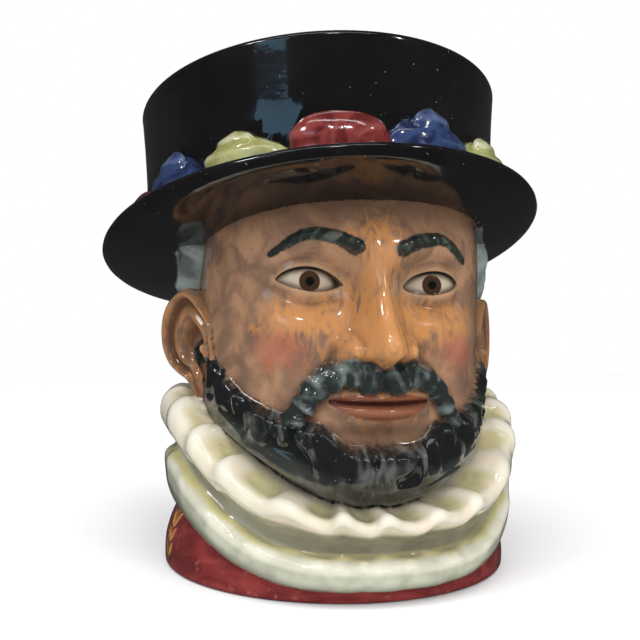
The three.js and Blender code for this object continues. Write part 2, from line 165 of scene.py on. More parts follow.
def smooth_max(a, b, reach):
    h = np.clip(0.5 + 0.5 * (a - b) / reach, 0, 1)
    return b + (a - b) * h + reach * h * (1 - h)


def lattice(ix, iy, iz, seed):
    """A repeatable random share for each whole-numbered point."""
    n = (ix * 374761393 + iy * 668265263 + iz * 2147483647 + seed * 1274126177) & 0xFFFFFFFF
    n = ((n ^ (n >> 13)) * 1103515245) & 0xFFFFFFFF
    n = ((n ^ (n >> 16)) * 2654435761) & 0xFFFFFFFF
    return ((n >> 8) & 0xFFFF) / 65535.0


def noise(x, y, z=0.0, seed=1):
    """Smooth noise from 0 to 1 with features one unit across."""
    x, y, z = np.broadcast_arrays(np.asarray(x, float), y, z)
    base = [np.floor(v).astype(np.int64) for v in (x, y, z)]
    f = [v - b for v, b in zip((x, y, z), base)]
    f = [t * t * (3 - 2 * t) for t in f]
    total = 0.0
    for cx in (0, 1):
        for cy in (0, 1):
            for cz in (0, 1):
                weight = (
                    (f[0] if cx else 1 - f[0])
                    * (f[1] if cy else 1 - f[1])
                    * (f[2] if cz else 1 - f[2])
                )
                total = total + weight * lattice(base[0] + cx, base[1] + cy, base[2] + cz, seed)
    return total


def ring_point(ring, angle):
    """A point of a leaning oval ring, which is its half width, half depth, y, height at y 0, lean, and
    share of the hat's turn."""
    half_width, half_depth, y, height, lean, hat_share = ring
    turn = HAT_TURN * hat_share
    px = half_width * np.sin(angle - turn)
    py = y - half_depth * np.cos(angle - turn)
    return np.stack(
        [
            px * math.cos(turn) - py * math.sin(turn) + HAT_X * hat_share,
            px * math.sin(turn) + py * math.cos(turn),
            height + lean * py,
        ],
        -1,
    )


def skin_mesh(name, rows, area):
    """Closed mesh from an array of rows of points, with a fan over the first and the last row."""
    count, columns = rows.shape[:2]
    points = np.concatenate([rows.reshape(-1, 3), [rows[0].mean(0), rows[-1].mean(0)]])
    j = np.arange(columns)
    k = (j + 1) % columns
    i = np.arange(count - 1)[:, None] * columns
    quads = np.stack([i + j, i + k, i + k + columns, i + j + columns], -1).reshape(-1, 4)
    edge = (count - 1) * columns
    low = np.stack([np.full(columns, count * columns), k, j], -1)
    high = np.stack([edge + j, edge + k, np.full(columns, count * columns + 1)], -1)
    mesh = bpy.data.meshes.new(name)
    mesh.from_pydata((points * MM).tolist(), [], quads.tolist() + low.tolist() + high.tolist())
    mesh.polygons.foreach_set("material_index", np.full(len(mesh.polygons), area, np.int32))
    return mesh


def turns(count):
    return np.arange(count) * 2 * math.pi / count


def ways_along(*coordinates):
    """Distance covered at each row of a table, from the columns it is measured in."""
    return np.concatenate([[0], np.cumsum(np.hypot(*(np.diff(column) for column in coordinates)))])


def between_keys(key, steps):
    """The keys with evenly spaced ones added between them."""
    return np.unique(np.concatenate([np.linspace(a, b, steps + 1) for a, b in zip(key[:-1], key[1:])]))


# Head without its features: height, half width, front reach and back reach
HEAD_FORM = [
    [16, 26, 32, 34],
    [24, 36, 46, 42],
    [31, 41, 51.5, 46],
    [40, 44.5, 53, 48],
    [52, 46.5, 50.5, 49],
    [66, 47.5, 48.5, 50],
    [82, 48, 47.5, 51],
    [100, 48, 49, 52],
    [114, 47, 48, 51],
    [124, 42, 43, 46],
]
HEAD_SQUARENESS = 2.25

# Height at which the beard rolls under, at the chin and below the ears
JAW_FRONT = 24.5
JAW_SIDE = 51.0
JAW_INSET = 6.0

# Height of the beard's upper edge by angle from the front, in degrees
BEARD_EDGE = [
    [0, 43], [13, 43.5], [21, 49], [34, 51.5],
    [48, 57], [62, 66], [74, 73], [84, 74],
]
# Middle lines of half the moustache and of an eyebrow: x, and height above the face's own marks
MOUSTACHE_LINE = [[3.2, 1.6], [8, 3.2], [13.5, 2.6], [18.5, -1.2], [22, -6], [24.5, -9.5]]
EYEBROW_LINE = [[7, 0.2], [14, 3.2], [22, 3.6], [30.5, -1.5]]


def to_line(line, x, z):
    """Distance to a line of straight stretches, and the share of the way along it."""
    away = np.full(np.shape(x), np.inf)
    along = np.zeros(np.shape(x))
    for i, ((ax, az), (bx, bz)) in enumerate(zip(line[:-1], line[1:])):
        dx, dz = bx - ax, bz - az
        t = np.clip(((x - ax) * dx + (z - az) * dz) / (dx * dx + dz * dz), 0, 1)
        d = np.hypot(x - ax - t * dx, z - az - t * dz)
        along = np.where(d < away, (i + t) / (len(line) - 1), along)
        away = np.minimum(away, d)
    return away, along


def bend(line, steps=6):
    """The same line with its corners rounded."""
    points = np.asarray(line, float)
    keys = np.arange(len(points))
    fine = np.linspace(0, len(points) - 1, steps * (len(points) - 1) + 1)
    return np.stack(profile(np.column_stack([keys, points]), fine), -1)


def hump(x, z, at_x, at_z, spread_x, spread_z):
    return np.exp(-(((x - at_x) / spread_x) ** 2) - ((z - at_z) / spread_z) ** 2)


# Nose: height, how far it stands out and half its width
NOSE_FORM = [
    [NOSE_BASE_Z - 4.5, 0, 6],
    [NOSE_BASE_Z - 1.5, 4, 7],
    [NOSE_BASE_Z + 0.6, 11.5, 7.6],
    [NOSE_BASE_Z + 3, 15.8, 7.4],
    [NOSE_BASE_Z + 6.5, 16.4, 6.6],
    [NOSE_BASE_Z + 14, 11.6, 5.6],
    [EYE_Z + 2, 6, 5.2],
    [BROW_Z, 2.4, 8],
    [BROW_Z + 8, 0, 9],
]


def lid_edges(x):
    """Heights of the upper and lower lid edge across the eye, and the share across it."""
    u = (x - EYE_X) / EYE_HALF_WIDTH
    arch = np.clip(1 - u * u, 0, 1)
    corner = EYE_Z + 0.7 * u
    return corner + 4.2 * arch ** 0.72, corner - 2.9 * arch ** 0.85, u


def eye_opening(x, z):
    """Distance in from the lid edges, positive on the eyeball."""
    upper, lower, u = lid_edges(x)
    inside = np.minimum(upper - z, z - lower)
    beyond = (1 - np.abs(u)) * EYE_HALF_WIDTH
    return np.where(np.abs(u) < 1, inside, np.minimum(inside, beyond))


def beard_share(degrees, z):
    (edge,) = profile(BEARD_EDGE, degrees)
    return smoothstep(-0.5, 4.0, edge - z) * smoothstep(86, 80, degrees)


def temple_lock(degrees, z):
    """How far inside the lock of hair above the ear a point is, in degrees round the head."""
    width = LOCK_HALF_WIDTH * np.sqrt(np.clip((z - LOCK_LOW) / LOCK_HEIGHT, 0, 1))
    return width - np.abs(degrees - LOCK_DEGREES)


def jaw_line(angle):
    return JAW_FRONT + (JAW_SIDE - JAW_FRONT) * np.sin(angle) ** 2


def jaw_band(angle, z):
    """The smooth band of beard along the jaw."""
    return smoothstep(9, 4, z - jaw_line(angle))


def beard_hairs(angle, around, z):
    """Curls over the beard and long strokes along its band, from 0 to 1. around is in millimetres."""
    band = jaw_band(angle, z)
    return tufts(around, z, 3) * (1 - band) + band * strands((z - jaw_line(angle)) * 0.9, around * 0.5, 13)


def hair_strands(around, z):
    return strands(around * 0.8 + 0.2 * z, z, 7)


def moustache_strands(x, along, z):
    return strands(along * 26 + np.where(x < 0, 0, 40), 1.2 * z, 5)


def eyebrow_strands(x, along, z):
    return strands(along * 24 + 0.6 * z + np.where(x < 0, 0, 40), z, 9)


def hair_share(degrees, z):
    """Hair behind the ears and in the locks above them."""
    back = smoothstep(93, 98, degrees)
    return np.maximum(back, smoothstep(-0.5, 2.5, temple_lock(degrees, z)))


def strands(across, along, seed):
    """Ridges of brushed hair, from 0 to 1: across is measured over the hairs and along with them."""
    sway = 1.5 * noise(across / 8, along / 9, seed=seed)
    coarse = 1 - np.abs(2 * noise(across / 2.6 + sway, along / 8, seed=seed + 1) - 1)
    fine = 1 - np.abs(2 * noise(across / 1.3 + sway, along / 5, seed=seed + 2) - 1)
    return 0.65 * coarse ** 1.5 + 0.35 * fine


def tufts(across, along, seed):
    """Short curls of a beard, from 0 to 1, each about 4 mm wide and longer than it is wide."""
    sway = 1.6 * noise(across / 7, along / 9, seed=seed)
    lump = noise(across / 3.2 + sway, along / 8, seed=seed + 1)
    hairs = 1 - np.abs(2 * noise(across / 1.7 + 1.4 * sway, along / 8, seed=seed + 2) - 1)
    return 0.55 * smoothstep(0.25, 0.75, lump) + 0.45 * hairs ** 1.3 * smoothstep(0.15, 0.5, lump)


MOUSTACHE_RISE = 5.0  # of the moustache's line above the mouth
MOUSTACHE_RADIUS = 4.6
MOUSTACHE_LUMPS = 5.5
EYEBROW_RADIUS = 2.3


def moustache_form(x, z):
    """How far inside the moustache, in millimetres, how round it is there, and the way along it."""
    away, along = to_line(bend(MOUSTACHE_LINE), x, z - MOUTH_Z - MOUSTACHE_RISE)
    lumps = np.abs(np.sin(math.pi * (MOUSTACHE_LUMPS * along + 0.12))) ** 0.6
    radius = MOUSTACHE_RADIUS * (0.7 + 0.3 * lumps) * (1 - 0.42 * along ** 2)
    return radius - away, np.sqrt(np.clip(1 - (away / radius) ** 2, 0, 1)), along


def eyebrow_form(x, z):
    away, along = to_line(bend(EYEBROW_LINE), x, z - BROW_Z + 0.5)
    radius = EYEBROW_RADIUS * (1 - 0.6 * along ** 2.5)
    return radius - away, along


def lip_edges(x):
    u = np.abs(x) / MOUTH_HALF_WIDTH
    arch = np.clip(1 - u * u, 0, 1)
    line = MOUTH_Z + 0.7 * u * u
    bow = 1 - 0.35 * np.exp(-((x / 2.6) ** 2))
    return line + 3.1 * arch ** 0.6 * bow, line, line - 4.9 * arch ** 0.7, arch


def face_relief(x, z):
    """How far the face stands forward of the plain head. It is the same left and right."""
    x = np.abs(x)
    out = 2.8 * hump(x, z, 16, BROW_Z + 1, 15, 4.6)
    out -= 7.0 * hump(x, z, EYE_X - 1.5, EYE_Z - 0.5, 10.5, 7.4)
    out += 3.4 * hump(x, z, 27, EYE_Z - 13, 12, 9)
    out += 3.6 * hump(x, z, 0, MOUTH_Z + 3, 18, 12)
    reach, width = profile(NOSE_FORM, z)
    nose = reach * np.exp(-((x / width) ** 2.4))
    wing = 9.0 * np.exp(-((((x - 8.2) / 3.7) ** 2 + ((z - NOSE_BASE_Z - 3.9) / 4.2) ** 2) ** 1.25))
    out += smooth_max(nose, wing, 1.4)
    nostril = (((x - 4.3) / 2.2) ** 2 + ((z - NOSE_BASE_Z + 0.2) / 1.7) ** 2) ** 1.4
    out -= 4.2 * np.exp(-nostril)
    crease, _ = to_line([[12.2, NOSE_BASE_Z + 4], [17, NOSE_BASE_Z - 4], [21.5, MOUTH_Z]], x, z)
    out -= 1.1 * np.exp(-((crease / 1.7) ** 2))
    _, line, _, arch = lip_edges(x)
    full = arch ** 0.5
    out += 1.7 * full * np.exp(-(((z - line - 1.7) / 1.6) ** 2))
    out += 2.4 * full * np.exp(-(((z - line + 2.5) / 2.3) ** 2))
    out -= 2.3 * full * np.exp(-(((z - line) / 0.75) ** 2))
    out -= 2.0 * hump(x, z, 0, MOUTH_Z - 8.5, 10, 3.0)
    philtrum = np.exp(-((x / 1.7) ** 2)) * smoothstep(line, line + 4, z)
    philtrum = philtrum * smoothstep(NOSE_BASE_Z, NOSE_BASE_Z - 4, z)
    out -= 0.8 * philtrum
    return out


def face_hair(x, z):
    """How far the moustache and eyebrows stand out of the face."""
    _, roundness, along = moustache_form(np.abs(x), z)
    out = roundness * 3.4 + smoothstep(0, 0.5, roundness) * 1.3 * moustache_strands(x, along, z)
    inside, along = eyebrow_form(np.abs(x), z)
    return out + smoothstep(0, 1.4, inside) * (0.8 + 0.8 * eyebrow_strands(x, along, z))


def eye_form(x, z, forward, plain):
    """Puts the eyeball and its lids into the face. forward and plain are -y with and without features."""
    x = np.abs(x)
    away2 = (x - EYE_X) ** 2 + (z - EYE_Z) ** 2
    centre = plain - EYE_RADIUS
    ball = centre + np.sqrt(np.clip(EYE_RADIUS ** 2 - away2, 0, None))
    lids = centre + np.sqrt(np.clip((EYE_RADIUS + 1.3) ** 2 - away2, 0, None))
    near = away2 < (EYE_RADIUS + 1.2) ** 2
    upper, lower, u = lid_edges(x)
    covered = np.where(near, smooth_max(lids, forward, 1.6), forward)
    width = np.clip(1.15 - u * u, 0, 1)
    covered -= 1.0 * width * np.exp(-(((z - upper - 3.2) / 0.75) ** 2))
    covered -= 0.55 * width * np.exp(-(((z - lower + 3.6) / 1.0) ** 2))
    opening = smoothstep(-0.1, 0.45, eye_opening(x, z))
    return covered + (ball - covered) * opening * near


def head_surface(angle, z):
    half_width, front, back = profile(HEAD_FORM, z)
    s, c = np.sin(angle), np.cos(angle)
    reach = (np.abs(s) ** HEAD_SQUARENESS + np.abs(c) ** HEAD_SQUARENESS) ** (-1 / HEAD_SQUARENESS)
    x = half_width * s * reach
    y = -np.where(c > 0, front, back) * c * reach
    degrees = np.abs(np.degrees(angle))
    beard = beard_share(degrees, z)
    hair = hair_share(degrees, z)
    around = half_width * angle
    jaw = jaw_line(angle)
    band = jaw_band(angle, z)
    hairs = beard_hairs(angle, around, z) * (2.2 - 1.9 * band)
    out = beard * (0.8 + hairs + band) + hair * (1.0 + 1.6 * hair_strands(around, z))
    out = out + LOCK_OUT * smoothstep(0, 6, temple_lock(degrees, z))
    out = out - JAW_INSET * smoothstep(jaw + 2.5, jaw - 4, z) * smoothstep(-0.2, 0.1, c)
    x = x * (1 + out / half_width)
    y = y * (1 + out / half_width)
    front_share = smoothstep(0.22, 0.5, c)
    bare = -y
    forward = bare + (face_relief(x, z) + face_hair(x, z) + 1.8 * beard) * front_share
    eye_plain = float(profile(HEAD_FORM, np.array(EYE_Z))[1]) - EYE_SINK - 1.2
    forward = np.where(front_share > 0, eye_form(x, z, forward, eye_plain), forward)
    return np.stack(np.broadcast_arrays(x, -forward, z), -1)


def gather(t, share=0.045):
    """Steps from -0.5 to 0.5, drawn closer together about 0, where the face is."""
    return t - share * np.sin(2 * math.pi * t)


def head_mesh(columns=236, back_columns=64, row_count=232):
    front = gather(np.arange(columns) / columns - 0.5) * math.pi
    back = (0.5 + np.arange(back_columns) / back_columns) * math.pi
    angle = np.concatenate([front, back])
    angle = np.where(angle > math.pi, angle - 2 * math.pi, angle)
    low, high = HEAD_FORM[0][0], HEAD_FORM[-1][0]
    z = low + (high - low) * (0.5 + gather(np.linspace(-0.5, 0.5, row_count)))
    angle, z = np.meshgrid(angle, z)
    return skin_mesh("head", head_surface(angle, z), SKIN)


# Outline of an ear by angle round it, from its front over the top, as a share of half its height
EAR_OUTLINE = [
    [0, 0.42], [60, 0.66], [90, 0.98], [120, 0.97], [150, 0.82], [180, 0.64],
    [205, 0.52], [235, 0.52], [270, 0.95], [290, 0.8], [320, 0.5], [360, 0.42],
]
# Height of an ear's relief from its middle to its edge
EAR_RELIEF = [
    [0, -2.4], [0.3, -2.0], [0.5, 1.4], [0.6, 1.5],
    [0.74, 0.2], [0.88, 2.6], [0.96, 2.2], [1, 0.4],
]


def ear_mesh(side, rounds=20, columns=56):
    turn = np.arange(columns) * 360 / columns
    share = (np.arange(rounds) + 1) / rounds
    turn, share = np.meshgrid(turn, share)
    (outline,) = profile(EAR_OUTLINE, turn)
    (relief,) = profile(EAR_RELIEF, share)
    lobe = np.exp(-(((turn - 270) / 38) ** 2))
    relief = relief * (1 - 0.75 * lobe * smoothstep(0.3, 0.6, share)) + 0.8 * lobe
    tragus = 2.6 * np.exp(-(((turn - 340) / 24) ** 2)) * np.exp(-(((share - 0.62) / 0.16) ** 2))
    relief = relief + tragus
    radius = share * outline * EAR_HEIGHT / 2
    a = np.radians(turn)
    x, z = -radius * np.cos(a), radius * np.sin(a)
    front = np.stack([x, relief + EAR_HALF_THICKNESS, z], -1)
    back = np.stack([x, -EAR_HALF_THICKNESS * (1 - share ** 3), z], -1)
    rows = np.concatenate([back, front[::-1]])
    place = (
        Matrix.Translation((-HEAD_HALF_WIDTH - EAR_OUT + 0.2, EAR_Y, EAR_Z))
        @ Matrix.Rotation(math.radians(90 + EAR_FLARE), 4, "Z")
        @ Matrix.Rotation(math.radians(EAR_TILT), 4, "Y")
    )
    m = np.array(place)
    rows = rows @ m[:3, :3].T + m[:3, 3]
    if side > 0:
        rows = rows[:, ::-1] * [-1, 1, 1]
    return skin_mesh("ear", rows, EAR)


# Hat rings below and at the brim: how far inside the brim's edge, and height above the brim's plane
BRIM_SECTION = [
    [38, -7.5], [30, -5], [23, -4.2], [14, -3.4], [6, -2.2], [1.8, -1.2],
    [0, 0.4], [1.2, 2.4], [5, 2.4], [10, 0.8], [13.5, 0.2],
]
# Crown rings: share of the way up to the rim, and how far the wall stands outside the crown's own oval
CROWN_SECTION = [[0.08, 0], [0.35, -0.3], [0.7, 0.6], [0.94, 1.6]]


def crown_ring(share, out, down=0.0):
    def between(a, b):
        return a + (b - a) * share

    return [
        CROWN_HALF_WIDTH + out,
        CROWN_HALF_DEPTH + out,
        between(HAT_Y, RIM_Y),
        between(BRIM_LEVEL, RIM_LEVEL) - down,
        between(BRIM_LEAN, RIM_LEAN),
        1,
    ]


def refine(rings, steps):
    """More rings along a smooth curve through the given ones."""
    rings = np.asarray(rings, float)
    key = ways_along(rings[:, 0], rings[:, 3])
    return np.stack(profile(np.column_stack([key, rings]), between_keys(key, steps)), -1)


def lip_ring(degrees, inward):
    a = math.radians(degrees)
    back = LIP_RADIUS * (1 - math.cos(a))
    out = LIP_OUT - 2 * LIP_RADIUS + back if inward else LIP_OUT - back
    return crown_ring(1, out, LIP_RADIUS * (1 - math.sin(a)))


def loft(name, rings, columns, area):
    angle = turns(columns)
    rings = np.asarray(rings, float)
    rows = np.stack([ring_point(ring, angle) for ring in rings])
    return skin_mesh(name, rows, area)


def hat_mesh():
    brim = [
        [BRIM_HALF_WIDTH - inset, BRIM_HALF_DEPTH - inset, HAT_Y, BRIM_LEVEL + rise, BRIM_LEAN, 1]
        for inset, rise in BRIM_SECTION
    ]
    crown = [crown_ring(share, out) for share, out in CROWN_SECTION]
    rings = refine(brim + crown, 3)
    lip = [lip_ring(degrees, False) for degrees in range(10, 91, 10)]
    return loft("hat", np.concatenate([rings, lip]), 144, BLACK)


def dome_form(x, z):
    """A flat-topped puff with shallow gathers round its foot."""
    square = (np.abs(x) ** DOME_SQUARENESS + np.abs(z) ** DOME_SQUARENESS) ** (1 / DOME_SQUARENESS)
    reach = np.hypot(x, z) / np.maximum(square, 0.001)
    gathers = 1 + 0.04 * np.cos(9 * np.arctan2(z, x)) * smoothstep(0.7, 0.1, z)
    return reach * gathers, reach * gathers


def bow_form(x, y, z, shift):
    """Two loops of ribbon that fall away from a round knot, with soft folds running out from it."""
    knot = np.array([shift, -0.5, 0.85])
    near = (x * knot[0] + y * knot[1] + z * knot[2]) / np.linalg.norm(knot)
    turn = np.arctan2(z - 0.2, x - shift)
    folds = 0.035 * np.cos(5 * turn + 9 * shift) * smoothstep(0.93, 0.6, near)
    knob = 0.09 * smoothstep(0.88, 0.95, near) - 0.06 * np.exp(-(((near - 0.86) / 0.05) ** 2))
    return 1 + folds + knob, (1 + folds + knob) * (1 - BOW_SLOPE * np.abs(x - shift))


def rosette_ball(index, columns=40, rows=22):
    """Every third rosette is a dome and the others are bows, each a little different."""
    up = np.linspace(-math.pi / 2, math.pi / 2, rows + 2)[1:-1]
    round_, up = np.meshgrid(turns(columns), up)
    x, y, z = np.cos(up) * np.cos(round_), np.cos(up) * np.sin(round_), np.sin(up)
    top = (BOW_TOP, LOW_BOW_TOP, DOME_TOP)[index % 3]
    shift = (0.0, -0.3)[index % 2] * (0.7 + 0.3 * math.sin(index))
    reach, slope = dome_form(x, z) if index % 3 == 2 else bow_form(x, y, z, shift)
    height = np.where(z > 0, top * slope, ROSETTE_DROP)
    return np.stack([x * reach * ROSETTE_HALF_WIDTH, y * reach * ROSETTE_HALF_DEPTH, z * height], -1)


def rosette_mesh(index):
    angle = ROSETTE_FIRST + 2 * math.pi * index / ROSETTE_COUNT
    ring = [CROWN_HALF_WIDTH + 1, CROWN_HALF_DEPTH + 1, HAT_Y, BRIM_LEVEL, BRIM_LEAN, 1]
    place = ring_point(ring, angle + HAT_TURN)
    turn = math.atan2(math.sin(angle) / CROWN_HALF_WIDTH, math.cos(angle) / CROWN_HALF_DEPTH)
    m = np.array(Matrix.Rotation(turn + HAT_TURN, 3, "Z"))
    ball = rosette_ball(index) @ m.T + place + [0, 0, ROSETTE_RISE]
    return skin_mesh("rosette", ball, (BLUE, WHITE, RED)[index % 3])


# Ruff section: radius, height at the front, height at the sides, share of the pleats, and how late it rises.
# The first rows are the lower tier and the last ones the upper tier.
RUFF_SECTION = [
    [44, 3.6, 22, 0, 1],
    [53, 3.6, 21, 0, 1],
    [57, 4.2, 21.4, 0.1, 1],
    [59.2, 6.4, 25.5, 0.2, 1],
    [60, 8.6, 30.4, 0.3, 1],
    [60.2, 10.6, 35, 0.35, 1],
    [58.6, 12.2, 37.2, 0.3, 1],
    [55.6, 13.6, 39, 0.2, 0.95],
    [55.6, 17, 41.2, 0.4, 0.85],
    [59.6, 19.8, 44, 0.7, 0.8],
    [61.8, 22, 48.4, 0.8, 0.75],
    [60.6, 24.2, 54.4, 0.8, 0.7],
    [56, 24.8, 57.6, 0.6, 0.65],
    [51, 25, 57, 0.4, 0.6],
    [46, 25, 56, 0.2, 0.5],
    [38, 25.5, 53, 0, 0.4],
]


def side_share(angle, late):
    """0 at the front, 1 at the sides and a little more at the back. The later, the nearer to the sides."""
    c2 = np.cos(angle) ** 2
    return np.where(np.cos(angle) > 0, (1 - c2) * (1 - late * c2), 1 + RUFF_BACK_LIFT * c2)


def pleat_wave(angle, tier):
    """Folds of a tier of the ruff, from about -1 to 1, uneven as if pinched by hand."""
    phase = PLEAT_COUNT * angle + 0.9 * np.sin(5 * angle) + 0.5 * np.sin(9 * angle + 2) + math.pi * tier
    return np.cos(phase) + 0.22 * np.cos(2 * phase + 1)


def dimples(angle, radius):
    """Dents half-way up the dish of the ruff, one in each fold."""
    return np.exp(-(((radius - DIMPLE_RADIUS) / 5.4) ** 2)) * smoothstep(0.6, -0.6, pleat_wave(angle, 0))


def ruff_mesh(columns=420):
    table = np.asarray(RUFF_SECTION, float)
    key = ways_along(table[:, 0], (table[:, 1] + table[:, 2]) / 2)
    fine = between_keys(key, 3)
    angle = turns(columns)
    depth = PLEAT_DEPTH * (PLEAT_SIDE_SHARE + (1 - PLEAT_SIDE_SHARE) * np.maximum(0, np.cos(angle)) ** 2)
    rows = []
    for radius, front, side, share, late in zip(*profile(np.column_stack([key, table]), fine)):
        lower = front < LOWER_TIER_TOP
        fold = depth * share * pleat_wave(angle, int(lower))
        out = radius + 0.6 * fold
        dent = 0 if lower else DIMPLE_DEPTH * dimples(angle, radius) * smoothstep(20, 23, front)
        x = RUFF_WIDTH_SHARE * out * np.sin(angle)
        y = RUFF_Y - out * np.cos(angle)
        rows.append(np.stack([x, y, front + (side - front) * side_share(angle, late) + fold - dent], -1))
    return skin_mesh("ruff", np.stack(rows), RUFF)


# Coat section: radius, height at the front and height at the sides
COAT_SECTION = [
    [FOOT_RADIUS - 1.6, 0, 0],
    [FOOT_RADIUS - 0.4, 0.6, 0.6],
    [FOOT_RADIUS, 2, 2],
    [FOOT_RADIUS - 0.1, 5, 8],
    [FOOT_RADIUS - 1.6, 7, 14],
    [FOOT_RADIUS - 4.2, 9, 20],
    [FOOT_RADIUS - 6, 11, 25],
    [FOOT_RADIUS - 12, 13, 30],
]


def coat_mesh(columns=144):
    table = np.asarray(COAT_SECTION, float)
    key = np.arange(len(table))
    fine = np.linspace(0, len(table) - 1, 4 * (len(table) - 1) + 1)
    angle = turns(columns)
    lift = side_share(angle, COAT_LATE)
    rows = [
        np.stack([radius * np.sin(angle), -radius * np.cos(angle), front + (side - front) * lift], -1)
        for radius, front, side in zip(*profile(np.column_stack([key, table]), fine))
    ]
    return skin_mesh("coat", np.stack(rows), COAT)


# Centre line of the handle, as y and z
HANDLE_LINE = [[72, 97], [84, 88], [92, 75], [94, 60], [87, 45], [75, 33], [54, 26]]


def handle_mesh(steps=56, columns=28):
    line = bend(HANDLE_LINE, 12)
    key = ways_along(*line.T)
    even = np.linspace(0, key[-1], steps + 1)
    y, z = np.interp(even, key, line[:, 0]), np.interp(even, key, line[:, 1])
    dy, dz = np.gradient(y), np.gradient(z)
    length = np.hypot(dy, dz)
    out_y, out_z = -dz / length, dy / length
    taper = 1 - HANDLE_WAIST * np.sin(math.pi * np.linspace(0, 1, steps + 1))
    a = turns(columns)[::-1]
    thick = HANDLE_HALF_THICKNESS * taper[:, None] * np.sin(a)
    rows = np.stack(
        [
            HANDLE_HALF_WIDTH * taper[:, None] * np.cos(a),
            y[:, None] + out_y[:, None] * thick,
            z[:, None] + out_z[:, None] * thick,
        ],
        -1,
    )
    return skin_mesh("handle", rows, HANDLE)


# Inside of the jug: rings of half width, half depth, y, height, lean, and share of the hat's turn
CAVITY_RINGS = [
    [42, 42, 0, 6, 0, 0],
    [48, 48, 0, 8, 0, 0],
    [49.5, 50, 0, 13, 0.03, 0],
    [47.5, 48, 0, 20, 0.08, 0],
    [46.5, 45.5, 1, 29, 0.16, 0],
    [45.5, 44, 1, 42, 0.2, 0],
    [42, 43.5, 1.5, 55, 0.12, 0],
    [42, 42, 3, 68, 0.02, 0],
    [42, 41.5, 4, 88, -0.1, 0],
    [42.5, 43, 5, 103, -0.18, 0.3],
    [49, 52, 8, 111, BRIM_LEAN, 0.7],
    [CROWN_HALF_WIDTH - WALL, CROWN_HALF_DEPTH - WALL, HAT_Y + 0.5, 118, -0.19, 1],
    [CROWN_HALF_WIDTH - WALL + 0.6, CROWN_HALF_DEPTH - WALL + 0.6, RIM_Y - 1, 139, -0.13, 1],
]
CAVITY_OVERSHOOT = 10


def cavity_mesh():
    lip = [lip_ring(degrees, True) for degrees in range(0, 91, 10)]
    above = list(lip[-1])
    above[3] += CAVITY_OVERSHOOT
    rings = refine(CAVITY_RINGS + lip[:1], 3)
    return loft("inside", np.concatenate([rings, lip[1:], [above]]), 88, INSIDE)


# Shallow hollow under the foot, as radius and height, which leaves a bare ring to stand on
FOOT_HOLLOW = [[50, -1], [50, 0], [48.5, 0.9], [45, 1.2], [20, 1.4]]


def foot_hollow_mesh():
    rings = [[radius, radius, 0, height, 0, 0] for radius, height in FOOT_HOLLOW]
    return loft("foot_hollow", rings, 96, CLAY)


def add_object(name, data):
    thing = bpy.data.objects.new(name, data)
    bpy.context.scene.collection.objects.link(thing)
    return thing


def material_named(label):
    return bpy.data.materials.get(label) or bpy.data.materials.new(label)


def join_up():
    """One closed skin: everything outside joined, then the inside and the foot's hollow cut out of it."""
    outside = [coat_mesh(), ruff_mesh(), head_mesh(), ear_mesh(-1), ear_mesh(1), hat_mesh(), handle_mesh()]
    outside += [rosette_mesh(i) for i in range(ROSETTE_COUNT)]
    hollows = [cavity_mesh(), foot_hollow_mesh()]
    things = []
    for mesh in outside + hollows:
        for paint in PAINTS:
            mesh.materials.append(material_named(paint.__name__))
        things.append(add_object(mesh.name, mesh))
    base = things[0]
    for i, thing in enumerate(things[1:], 1):
        cut = base.modifiers.new(thing.name, "BOOLEAN")
        cut.object = thing
        cut.solver = "MANIFOLD"
        cut.operation = "UNION" if i < len(outside) else "DIFFERENCE"
    bpy.context.view_layer.update()
    joined = bpy.data.meshes.new_from_object(base.evaluated_get(bpy.context.evaluated_depsgraph_get()))
    for thing in things:
        bpy.data.objects.remove(thing)
    return joined


def read(items, key, kind=np.int32, width=1):
    """A number, or a row of them, for each of a mesh's points, edges, corners or faces."""
    values = np.empty(len(items) * width, kind)
    items.foreach_get(key, values)
    return values if width == 1 else values.reshape(-1, width)


def read_points(mesh):
    return read(mesh.vertices, "co", np.float32, 3).astype(float) / MM


def read_normals(mesh):
    return read(mesh.vertex_normals, "vector", np.float32, 3).astype(float)


def read_edges(mesh):
    return read(mesh.edges, "vertices", width=2)


def spread(values, edges, rounds):
    """Values averaged with their neighbours' along the edges, again and again."""
    count = len(values)
    a, b = edges.T
    degree = np.bincount(a, minlength=count) + np.bincount(b, minlength=count)
    values = np.array(values, float)
    flat = values.reshape(count, -1)
    for _ in range(rounds):
        for column in flat.T:
            total = np.bincount(a, column[b], count) + np.bincount(b, column[a], count)
            column[:] = 0.5 * column + 0.5 * total / np.maximum(degree, 1)
    return flat.reshape(values.shape)


def areas_of_points(mesh):
    """For each point the lowest and the highest place in the list of paints among the faces round it."""
    corners = read(mesh.loops, "vertex_index")
    area = np.repeat(read(mesh.polygons, "material_index"), read(mesh.polygons, "loop_total"))
    low = np.full(len(mesh.vertices), len(PAINTS))
    high = np.full(len(mesh.vertices), -1)
    np.minimum.at(low, corners, area)
    np.maximum.at(high, corners, area)
    return low, high


def soften_seams(mesh):
    """Fills the sharp corners where two forms meet, as slip and glaze do."""
    points, edges = read_points(mesh), read_edges(mesh)
    low, high = areas_of_points(mesh)
    seam = (low != high) & (high != CLAY) & (low != INSIDE)
    weight = np.clip(3.2 * spread(seam.astype(float), edges, 4), 0, 1)[:, None]
    normals = spread(read_normals(mesh), edges, 3)
    normals /= np.maximum(np.linalg.norm(normals, axis=1), 0.001)[:, None]
    for _ in range(3):
        lift = np.einsum("ij,ij->i", spread(points, edges, 4) - points, normals)
        points = points + normals * lift[:, None] * weight
    mesh.vertices.foreach_set("co", (points * MM).ravel())
    mesh.update()


def store(mesh, name, values):
    mesh.attributes.new(name, "FLOAT", "POINT").data.foreach_set("value", np.asarray(values, np.float32))


